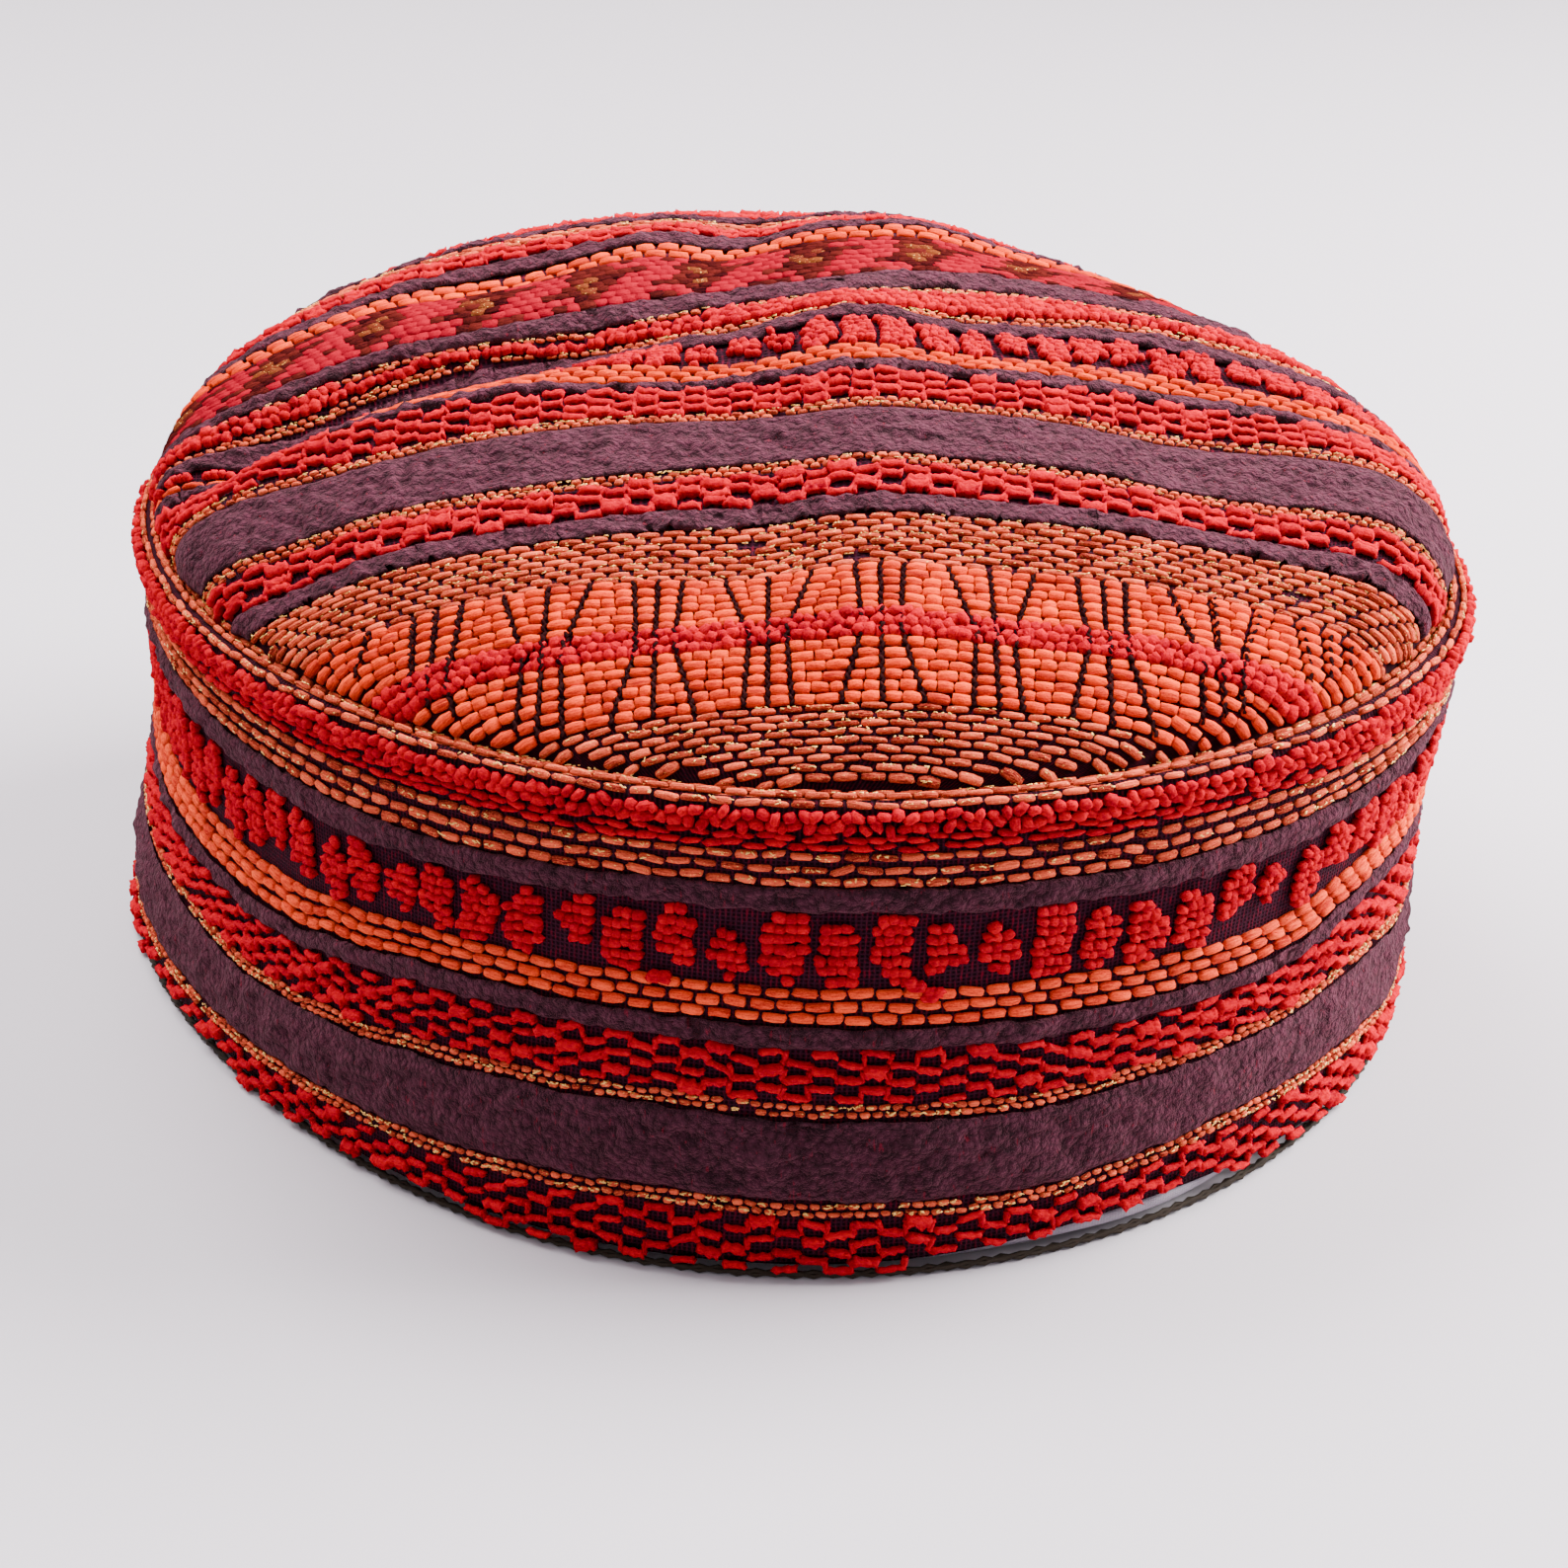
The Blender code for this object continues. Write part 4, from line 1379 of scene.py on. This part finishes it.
class KUFI_OT_bricks(bpy.types.Operator):
    """Lay the plump orange floats, row by row in brick bond"""

    bl_idname = "kufi.bricks"
    bl_label = "Orange floats"

    def execute(self, context):
        """Lay floats along the plain rows, and between the dark threads of the fans."""
        rng = np.random.default_rng(11)
        shape = model_float(7, FLOAT_STATIONS)
        laid = []
        for row, _, pitch, places, step, kept, wide in float_rows("bricks", weave().brick_pitch):
            count = kept.sum()
            size = (step * rng.uniform(0.8, 0.94, count), pitch * wide[kept] * rng.uniform(0.68, 0.88, count),
                    rng.uniform(1.15, 1.4, count))
            laid.append(lay(shape, row, places[kept], size, rng, lift=-0.08, rough=0.06,
                            **scatter(rng, count, 0.06, 0.1, (0.5, 0.22), lean=-0.03)))
        for kind, front, back, count in TOP_STRIPES:
            if kind == "fan bricks":
                for y in spread_rows(front, back, count):
                    laid += lay_lens_row(shape, top_row(y), top_span(front, back) / count, y, rng)
        c = colours()
        finish = yarn_finish("orange_yarn", c.orange, c.orange_dark, patch=c.amber, glow=0.4)
        declare(join_floats("orange_floats", shape, laid), finish, "striped_cloth")
        return {"FINISHED"}


class KUFI_OT_fans(bpy.types.Operator):
    """Lay the dark threads that fan over the orange and the red in front"""

    bl_idname = "kufi.fans"
    bl_label = "Fan threads"

    def execute(self, context):
        """Lay short slanted floats along each thread's path over the cloth."""
        rng = np.random.default_rng(23)
        shape = model_float(6, BEAD_STATIONS)
        laid = []
        edges = [stripe[1:3] for stripe in TOP_STRIPES if stripe[0] == "fan bricks"]
        y = np.linspace(np.min(edges), np.max(edges), 80)
        for number in FAN_NUMBERS:
            for offset in FAN_OFFSETS:
                x = fan_x(number, offset, y)
                _, share = dome_place(x, y)
                inside = share < 0.985
                if inside.sum() < 12:
                    continue
                row = make_row(*dome_frame(x[inside], y[inside]), False)
                count = int(row.reach[-1] / FAN_STITCH)
                places = (np.arange(count) + 0.5) * row.reach[-1] / count
                side = np.where(np.arange(count) % 2, 1.0, -1.0)
                away = np.abs(np.interp(places, row.reach, y[inside]) - FAN_MIDDLE_Y - FAN_RED)
                lift = rng.normal(0.2, 0.08, count)
                lift = lift + np.where(away < FAN_RED_REACH, rng.uniform(0.2, 0.6, count), 0.0)
                thick = rng.uniform(0.42, 0.56, count)
                laid.append(lay(shape, row, places, (1.0, thick, 0.5), rng, turn=0.42 * side, rough=0.07,
                                shift=0.1 * side, lift=lift, tone=rng.normal(0.5, 0.25, count)))
        c = colours()
        finish = yarn_finish("fan_yarn", c.fan, c.ground, sheen=0.1)
        declare(join_floats("fan_threads", shape, laid), finish, "top_cloth")
        return {"FINISHED"}


class KUFI_OT_dashes(bpy.types.Operator):
    """Lay the slim terracotta floats with gold thread in them"""

    bl_idname = "kufi.dashes"
    bl_label = "Terracotta floats"

    def execute(self, context):
        """Lay slim floats in brick bond, with a few left out on the top."""
        rng = np.random.default_rng(31)
        shape = model_float(5, FLOAT_STATIONS)
        laid = []
        for row, _, pitch, places, step, kept, wide in float_rows("dashes", weave().dash_pitch):
            kept = kept & (row.closed | (rng.random(len(places)) > 0.008))
            count = kept.sum()
            thick = min(pitch, 1.35) * wide[kept] * rng.uniform(0.62, 0.84, count)
            size = (step * rng.uniform(0.78, 0.94, count), thick, rng.uniform(0.75, 1.0, count))
            laid.append(lay(shape, row, places[kept], size, rng, lift=-0.1, rough=0.05,
                            **scatter(rng, count, 0.07, 0.08, (0.5, 0.28))))
        c = colours()
        finish = yarn_finish("terracotta_yarn", c.tan, c.tan_dark, fleck=c.gold)
        declare(join_floats("terracotta_floats", shape, laid), finish, "striped_cloth")
        return {"FINISHED"}


class KUFI_OT_beads(bpy.types.Operator):
    """Lay the double rows of small gold and terracotta floats beside the plum stripes"""

    bl_idname = "kufi.beads"
    bl_label = "Small gold floats"

    def execute(self, context):
        """Lay short floats above the hem, with a few left out."""
        rng = np.random.default_rng(43)
        shape = model_float(5, BEAD_STATIONS)
        laid = []
        for row, _, _, places, step, kept, _ in float_rows("beads", weave().bead_pitch):
            places = places[kept & above_hem(row, places) & (rng.random(len(places)) > 0.04)]
            count = len(places)
            size = (step * rng.uniform(0.72, 0.95, count), rng.uniform(0.55, 0.82, count),
                    rng.uniform(0.65, 0.9, count))
            laid.append(lay(shape, row, places, size, rng, lift=-0.05, rough=0.06,
                            **scatter(rng, count, 0.12, 0.09, (0.55, 0.28))))
        c = colours()
        finish = yarn_finish("small_terracotta_yarn", c.tan, c.tan_dark, fleck=c.gold)
        declare(join_floats("small_floats", shape, laid), finish, "striped_cloth")
        return {"FINISHED"}


class KUFI_OT_glints(bpy.types.Operator):
    """Lay the bright facets of gold metal thread along the terracotta floats"""

    bl_idname = "kufi.glints"
    bl_label = "Gold glints"

    def execute(self, context):
        """Lay a few tiny facets along the upper side of some floats, more in some patches than in others."""
        rng = np.random.default_rng(47)
        shape = model_float(3, GLINT_STATIONS)
        laid = []
        for kind, wanted in (("dashes", weave().dash_pitch), ("beads", weave().bead_pitch)):
            for row, line, _, places, step, kept, _ in float_rows(kind, wanted):
                patch = noise_at(places, 20.0 * line + 0.0 * places, GLINT_PATCH, 5)
                lucky = rng.random(len(places)) < 2.0 * weave().gold_share * patch
                middles = np.repeat(places[kept & above_hem(row, places) & lucky], GLINTS)
                count = len(middles)
                if not count:
                    continue
                middles = middles + rng.uniform(-0.42, 0.42, count) * step
                size = (rng.uniform(0.25, 0.6, count), rng.uniform(0.2, 0.42, count),
                        rng.uniform(0.2, 0.36, count))
                laid.append(lay(shape, row, middles, size, rng, turn=rng.normal(0.0, 0.4, count), rough=0.1,
                                shift=rng.normal(0.15, 0.13, count), lift=rng.uniform(0.22, 0.34, count)))
        piece = join_floats("gold_glints", shape, laid, smooth=False)
        declare(piece, glint_finish("gold_thread", colours().gold), "striped_cloth")
        return {"FINISHED"}


class KUFI_OT_checks(bpy.types.Operator):
    """Lay the red chenille checks, whose columns step up and down in turn"""

    bl_idname = "kufi.checks"
    bl_label = "Red checks"

    def execute(self, context):
        """Lay a knotty float in each column, half a row higher in every other one, and the yarn between."""
        rng = np.random.default_rng(57)
        shape = model_float(5, KNOTTY_STATIONS)
        laid = []
        for row, _, pitch, places, step, kept, wide in float_rows("checks", weave().check_pitch, 0.0):
            kept = kept & above_hem(row, places)
            odd = np.arange(len(places))[kept] % 2 == 0
            places = places[kept]
            rise = pitch * wide[kept] / 4.0
            count = len(places)
            fat = rng.random(count) < 0.25
            full = 1.0 if row.closed else 1.4
            thick = full * np.where(fat, rng.uniform(1.3, 1.9, count), rng.uniform(0.85, 1.2, count))
            size = (step * rng.uniform(0.9, 1.08, count), thick, np.where(fat, 1.8, 1.3))
            shift = np.where(odd, rise, -rise) * 1.1 + rng.normal(0.0, 0.12, count)
            laid.append(lay(shape, row, places, size, rng, turn=rng.normal(0.0, 0.13, count), shift=shift,
                            lift=0.05, rough=0.13, tone=rng.normal(0.5, 0.2, count)))
            joined = rng.random(count) < 0.5
            some = joined.sum()
            size = (2.0 * rise[joined] + rng.uniform(0.2, 0.8, some), rng.uniform(0.6, 0.95, some), 1.0)
            laid.append(lay(shape, row, places[joined] + step / 2.0, size, rng, rough=0.1,
                            **scatter(rng, some, 0.2, 0.1, (0.45, 0.2), lean=math.pi / 2.0)))
        declare(join_floats("red_checks", shape, laid), red_finish("red_check_yarn"), "striped_cloth")
        return {"FINISHED"}


class KUFI_OT_boucle(bpy.types.Operator):
    """Lay the dense red loops of the rim and of the red stripes of the top"""

    bl_idname = "kufi.boucle"
    bl_label = "Red loops"

    def execute(self, context):
        """Lay thin knotty floats low in the rim's stripe, bigger knots above, and dense knots on the top."""
        rng = np.random.default_rng(61)
        knot = model_float(6, LOOP_STATIONS)
        rim = []
        top = []
        for row, line, pitch in kind_rows("boucle"):
            low_rim = row.closed and line < 2
            spacing = 2.5 if low_rim else 1.55 if row.closed else 1.4
            places, step = even_places(row, spacing, 0.5 * (line % 2))
            kept, wide = fit_rows(row, places, line)
            places = places[kept]
            count = len(places)
            places = places + rng.normal(0.0, 0.1 * step, count)
            if low_rim:
                size = (step * rng.uniform(0.85, 1.05, count), rng.uniform(0.7, 1.05, count),
                        rng.uniform(0.9, 1.2, count))
            else:
                room = np.clip(pitch * wide[kept], 1.1, 1.9)
                size = (rng.uniform(1.3, 2.1, count), room * rng.uniform(1.0, 1.4, count),
                        rng.uniform(1.3, 1.9, count))
            turns = rng.normal(0.0, 0.1 if low_rim else 0.7, count)
            batch = lay(knot, row, places, size, rng, turn=turns, rough=0.12,
                        lift=rng.uniform(-0.05, 0.35, count), shift=rng.normal(0.0, 0.18, count),
                        tone=rng.normal(0.5, 0.28, count))
            (rim if row.closed else top).append(batch)
        finish = red_finish("red_loop_yarn")
        declare(join_floats("rim_red_loops", knot, rim), finish, "striped_cloth")
        declare(join_floats("top_red_loops", knot, top), finish, "top_cloth")
        return {"FINISHED"}


def tuft_rows(make, low, high):
    """Rows of tufts over a stripe of the band or of the top."""
    if make is band_row:
        lines = int((high - low) / TUFT_ROW)
        levels = low + (np.arange(lines) + 0.5) * (high - low) / lines
    else:
        levels = spread_rows(low, high, int(top_span(low, high) / TUFT_ROW))
    return [make(level) for level in levels]


def lay_block(knot, rows, middle, wide_block, rows_used, rng):
    """Lay one block: two columns of tufts, two to a row, whose ends and corners differ."""
    laid = []
    long = wide_block / 4.0
    sway = rng.normal(0.0, 0.2, len(rows))
    for column in (-0.25, 0.25):
        start = max(0, rows_used[0] + rng.choice(BLOCK_STEPS))
        end = min(len(rows), rows_used[1] + rng.choice(BLOCK_STEPS))
        for line in range(start, end):
            row = rows[line]
            across = np.array([-0.5, 0.5]) * long + column * wide_block
            places = middle * row.reach[-1] + across + rng.normal(0.0, 0.1, 2)
            if line in (start, end - 1) and rng.random() < CORNER_CUT:
                places = places[1:] if column < 0.0 else places[:1]
            places = places + sway[line]
            if not row.closed:
                places = places[(places > 1.0) & (places < row.reach[-1] - 1.0)]
            kept, wide = fit_rows(row, places, line)
            count = kept.sum()
            if count:
                size = (long * rng.uniform(1.15, 1.5, count),
                        TUFT_ROW * wide[kept] * rng.uniform(0.95, 1.3, count), rng.uniform(1.1, 1.7, count))
                laid.append(lay(knot, row, places[kept], size, rng, lift=0.1, rough=0.12,
                                **scatter(rng, count, 0.2, 0.14, (0.45, 0.22))))
    return laid


class KUFI_OT_blocks(bpy.types.Operator):
    """Lay the uneven blocks of red tufts on the dark open weave"""

    bl_idname = "kufi.blocks"
    bl_label = "Red blocks"

    def execute(self, context):
        """Lay the blocks, each with its own place, width and height, and the stray tufts below them."""
        rng = np.random.default_rng(73)
        knot = model_float(6, LOOP_STATIONS)
        laid = []
        for stripes, make, shrink in ((BAND_STRIPES, band_row, 1.0), (TOP_STRIPES, top_row, TOP_BLOCKS)):
            for low, high in [(low, high) for kind, low, high, _ in stripes if kind == "blocks"]:
                rows = tuft_rows(make, low, high)
                longest = max(row.reach[-1] for row in rows)
                blocks = int(longest / BLOCK_PITCH / shrink)
                for number in range(blocks):
                    rows_used = (rng.integers(0, 3), len(rows) - rng.integers(0, 2))
                    middle = (number + 0.5) / blocks + rng.normal(0.0, 0.12) / longest
                    wide_block = BLOCK_WIDTH * shrink * rng.uniform(0.85, 1.08)
                    laid += lay_block(knot, rows, middle, wide_block, rows_used, rng)
        for heading, climb in STRAY_TUFTS:
            row = band_row(climb)
            places = (heading + 180.0) / 360.0 * row.reach[-1] + rng.uniform(-0.9, 0.9, 4)
            laid.append(lay(knot, row, places, (1.7, 1.5, 1.8), rng, shift=rng.normal(0.0, 0.4, 4), lift=0.3,
                            rough=0.12))
        declare(join_floats("red_blocks", knot, laid), red_finish("red_block_yarn"), "striped_cloth")
        return {"FINISHED"}


class KUFI_OT_rose(bpy.types.Operator):
    """Lay the wide rose stripe at the back of the top, with its brown and gold motifs"""

    bl_idname = "kufi.rose"
    bl_label = "Rose stripe"

    def execute(self, context):
        """Lay soft rose floats as long lozenges, and brown and gold ones at the motifs between them."""
        rng = np.random.default_rng(83)
        shape = model_float(6, FLOAT_STATIONS)
        yarns = dict(rose=[], brown=[], gold=[])
        rows = list(float_rows("rose", ROSE_PITCH))
        for row, line, pitch, places, step, kept, wide in rows:
            places = places[kept]
            count = len(places)
            long = step * rng.uniform(1.1, 1.4, count)
            size = (long, pitch * wide[kept] * rng.uniform(1.1, 1.35, count), 0.9)
            made = lay(shape, row, places, size, rng, lift=-0.12, rough=0.07,
                       **scatter(rng, count, 0.14, 0.12, (0.5, 0.25)))
            away = (places - row.middle - MOTIF_SHIFT + MOTIF_PITCH / 2.0) % MOTIF_PITCH - MOTIF_PITCH / 2.0
            height = (line + 0.5) / len(rows) - 0.5
            motif = np.hypot(away / MOTIF_REACH, height / 0.46) < 1.0
            slant = np.abs(height - 0.5 * away / MOTIF_PITCH) < 0.5 / len(rows)
            brown = motif | (slant & (rng.random(count) < 0.9)) | (abs(height) > 0.5 - 0.9 / len(rows)) & (
                rng.random(count) < LOZENGE_LINE)
            gold = motif & (np.hypot(away / 2.2, height / 0.3) < 1.0) & (rng.random(count) < 0.45)
            for name, chosen in (("rose", ~brown), ("brown", brown & ~gold), ("gold", gold)):
                yarns[name].append([part[chosen] for part in made])
        c = colours()
        soft = yarn_finish("rose_yarn", c.rose, c.rose_dark, fibre_along=1.4, fuzz_tone=0.9)
        dark = yarn_finish("brown_yarn", c.brown, c.ground)
        bright = yarn_finish("gold_motif_yarn", c.motif, c.brown, fleck=c.gold)
        for name, yarn, finish in (("rose_floats", "rose", soft), ("brown_floats", "brown", dark),
                                   ("gold_motif_floats", "gold", bright)):
            declare(join_floats(name, shape, yarns[yarn]), finish, "top_cloth")
        return {"FINISHED"}


def lining_section(turn, share):
    """The lining's section: a strip inside the band, turned out where the hem is lifted."""
    lift = hem_lift(turn)
    out = np.maximum(0.0, (lift - LIFT_START) / (1.0 - LIFT_START))
    back = BAND_WALL + FIT_GAP
    foot_inset = back - LIFT_RISE * out
    foot_top = np.maximum(LINING_FOOT, HEM_EDGE - FIT_GAP + LIFT_RISE * lift)
    heights = np.stack(np.broadcast_arrays(
        HEM_EDGE, foot_top, foot_top + 0.15, 5.0, 8.0, 11.0, LINING_TOP, LINING_TOP, 11.0, 8.0, 5.0, 3.0,
        LINING_BASE, LINING_BASE), -1)
    inside = [back + LINING_WALL] * 6
    insets = np.stack(np.broadcast_arrays(
        foot_inset, foot_inset, back + 0.0 * lift, back, back, back, back, *inside, back), -1)
    corner = np.round(share * LINING_CORNERS).astype(int) % LINING_CORNERS
    picked = np.arange(len(turn))
    return wall_point(turn, heights[picked, corner], insets[picked, corner])


class KUFI_OT_hem_lining(bpy.types.Operator):
    """Make the mauve grey cotton strip inside the hem"""

    bl_idname = "kufi.hem_lining"
    bl_label = "Hem lining"

    def execute(self, context):
        """Map a ring onto the lining's section."""
        size = (BAND_GIRTH, LINING_GIRTH)
        piece = map_ring("hem_lining_cloth", BAND_AROUND, LINING_CORNERS, lining_section, size)
        c = colours()
        dark = tuple(0.6 * value for value in c.lining)
        declare(piece, cotton_finish("lining_cotton", c.lining, dark), "lining_cloth", "hem_lining")
        return {"FINISHED"}


def strand_section(turn, share, strand, turns):
    """A strand of the cord, which winds about the cord's middle under the band's edge."""
    wind = turns * turn + 2.0 * math.pi * strand / CORD_STRANDS
    angle = 2.0 * math.pi * share
    out = STRAND_SWING[0] * np.cos(wind) + STRAND_SIZE[0] / 2.0 * STRAND_SWELL * np.cos(angle)
    up = STRAND_SWING[1] * np.sin(wind) + STRAND_SIZE[1] / 2.0 * STRAND_SWELL * np.sin(angle)
    middle = wall_point(turn, HEM_EDGE + 0.0 * turn, CORD_INSET)
    middle[:, 2] = np.clip(CORD_MIDDLE + up, 0.0, CORD_HEIGHT)
    middle[:, 0] += out * np.cos(turn)
    middle[:, 1] += out * np.sin(turn)
    return middle


class KUFI_OT_hem_cord(bpy.types.Operator):
    """Make the braided dark cord along the hem, strand by strand"""

    bl_idname = "kufi.hem_cord"
    bl_label = "Hem cord"

    def execute(self, context):
        """Map a ring onto each strand, and join the strands."""
        c = colours()
        dark = tuple(0.35 * value for value in c.cord)
        finish = cord_finish("cord_yarn", c.cord, dark)
        turns = int(BAND_GIRTH / weave().cord_turn)
        strands = []
        for strand in range(CORD_STRANDS):
            place = functools.partial(strand_section, strand=strand, turns=turns)
            size = (BAND_GIRTH * 1.1, 1.9)
            name = f"hem_cord_strand_{strand}"
            strands.append(map_ring(name, turns * STRAND_POINTS, STRAND_SIDES, place, size))
        start_clean()
        for piece in strands:
            piece.select_set(True)
        context.view_layer.objects.active = strands[0]
        bpy.ops.object.join()
        declare(name_piece("hem_cord_braid"), finish, "hem_cord", "hem_cord")
        return {"FINISHED"}


# Stage

def add_light(name, power, size, place, colour, target):
    """A square soft light that faces a point."""
    start_clean()
    bpy.ops.object.light_add(type="AREA", location=place)
    light = name_piece(name)
    light.data.energy = power
    light.data.size = size
    light.data.color = colour
    away = [target[axis] - place[axis] for axis in range(3)]
    light.rotation_euler = (math.atan2(math.hypot(away[0], away[1]), -away[2]), 0.0,
                            math.atan2(away[1], away[0]) - math.pi / 2.0)


def add_floor(colour):
    """The pale floor, which isn't part of the cap."""
    start_clean()
    bpy.ops.mesh.primitive_plane_add(size=FLOOR_SIZE)
    floor = bpy.context.object
    floor.name = "floor"
    finish, tree, shader = new_finish("pale_floor")
    broad = noise(tree, object_place(tree), 1.5)
    dark = tuple(0.97 * value for value in colour)
    tree.links.new(mix_colour(tree, broad, opaque(dark), opaque(colour)), shader.inputs["Base Color"])
    shader.inputs["Roughness"].default_value = 0.7
    floor.data.materials.append(finish)


def add_camera(stage, target):
    """The camera at the viewing angle, which becomes the scene's own."""
    back = (0.0, -math.cos(stage.elevation), math.sin(stage.elevation))
    start_clean()
    bpy.ops.object.camera_add(location=[target[axis] + stage.distance * back[axis] for axis in range(3)])
    camera = bpy.context.object
    camera.name = "camera"
    camera.data.lens = stage.lens
    camera.data.sensor_width = SENSOR_WIDTH
    camera.data.clip_start = 0.01
    tilt = math.pi / 2.0 - stage.elevation
    camera.rotation_mode = "QUATERNION"
    camera.rotation_quaternion = Quaternion((1.0, 0.0, 0.0), tilt) @ Quaternion((0.0, 0.0, 1.0), stage.roll)
    bpy.context.scene.camera = camera


class KUFI_OT_stage(bpy.types.Operator):
    """Make the camera, the soft lights and the pale floor"""

    bl_idname = "kufi.stage"
    bl_label = "Stage"

    def execute(self, context):
        """Lay the floor, set the camera, and light the cap from behind at the right and from above."""
        stage = context.scene.kufi_stage
        target = tuple(stage.target)
        add_floor(tuple(stage.floor))
        add_camera(stage, target)
        for name, setting, size, place, colour in LIGHTS:
            add_light(name, getattr(stage, setting), size, place, colour, target)
        world = context.scene.world or bpy.data.worlds.new("world")
        context.scene.world = world
        world.use_nodes = True
        sky = world.node_tree.nodes["Background"]
        sky.inputs["Color"].default_value = SKY_COLOUR
        sky.inputs["Strength"].default_value = stage.sky
        return {"FINISHED"}


PIECES = (KUFI_OT_band_cloth, KUFI_OT_top_cloth, KUFI_OT_velvet, KUFI_OT_bricks, KUFI_OT_fans, KUFI_OT_dashes,
          KUFI_OT_beads, KUFI_OT_glints, KUFI_OT_checks, KUFI_OT_boucle, KUFI_OT_blocks, KUFI_OT_rose,
          KUFI_OT_hem_lining, KUFI_OT_hem_cord, KUFI_OT_stage)
GROUPS = (("kufi_colours", KufiColours), ("kufi_weave", KufiWeave), ("kufi_stage", KufiStage))


class KUFI_PT_panel(bpy.types.Panel):
    """Lists the pieces of the kufi and their settings"""

    bl_idname = "KUFI_PT_panel"
    bl_label = "Kufi"
    bl_space_type = "VIEW_3D"
    bl_region_type = "UI"
    bl_category = "Kufi"

    def draw(self, context):
        """Draw the buttons, then the settings."""
        for piece in PIECES:
            self.layout.operator(piece.bl_idname)
        for group in (context.scene.kufi_colours, context.scene.kufi_weave, context.scene.kufi_stage):
            box = self.layout.box()
            for name in group.__annotations__:
                box.prop(group, name)


def register():
    """Register the settings, the operators and the panel."""
    for name, group in GROUPS:
        bpy.utils.register_class(group)
        setattr(bpy.types.Scene, name, bpy.props.PointerProperty(type=group))
    for piece in PIECES:
        bpy.utils.register_class(piece)
    bpy.utils.register_class(KUFI_PT_panel)


def unregister():
    """Take back what register did."""
    bpy.utils.unregister_class(KUFI_PT_panel)
    for piece in reversed(PIECES):
        bpy.utils.unregister_class(piece)
    for name, group in reversed(GROUPS):
        delattr(bpy.types.Scene, name)
        bpy.utils.unregister_class(group)


def main():
    """Make every piece and the stage."""
    register()
    bpy.ops.kufi.band_cloth()
    bpy.ops.kufi.top_cloth()
    bpy.ops.kufi.velvet()
    bpy.ops.kufi.bricks()
    bpy.ops.kufi.fans()
    bpy.ops.kufi.dashes()
    bpy.ops.kufi.beads()
    bpy.ops.kufi.glints()
    bpy.ops.kufi.checks()
    bpy.ops.kufi.boucle()
    bpy.ops.kufi.blocks()
    bpy.ops.kufi.rose()
    bpy.ops.kufi.hem_lining()
    bpy.ops.kufi.hem_cord()
    bpy.ops.kufi.stage()


if __name__ == "__main__":
    main()
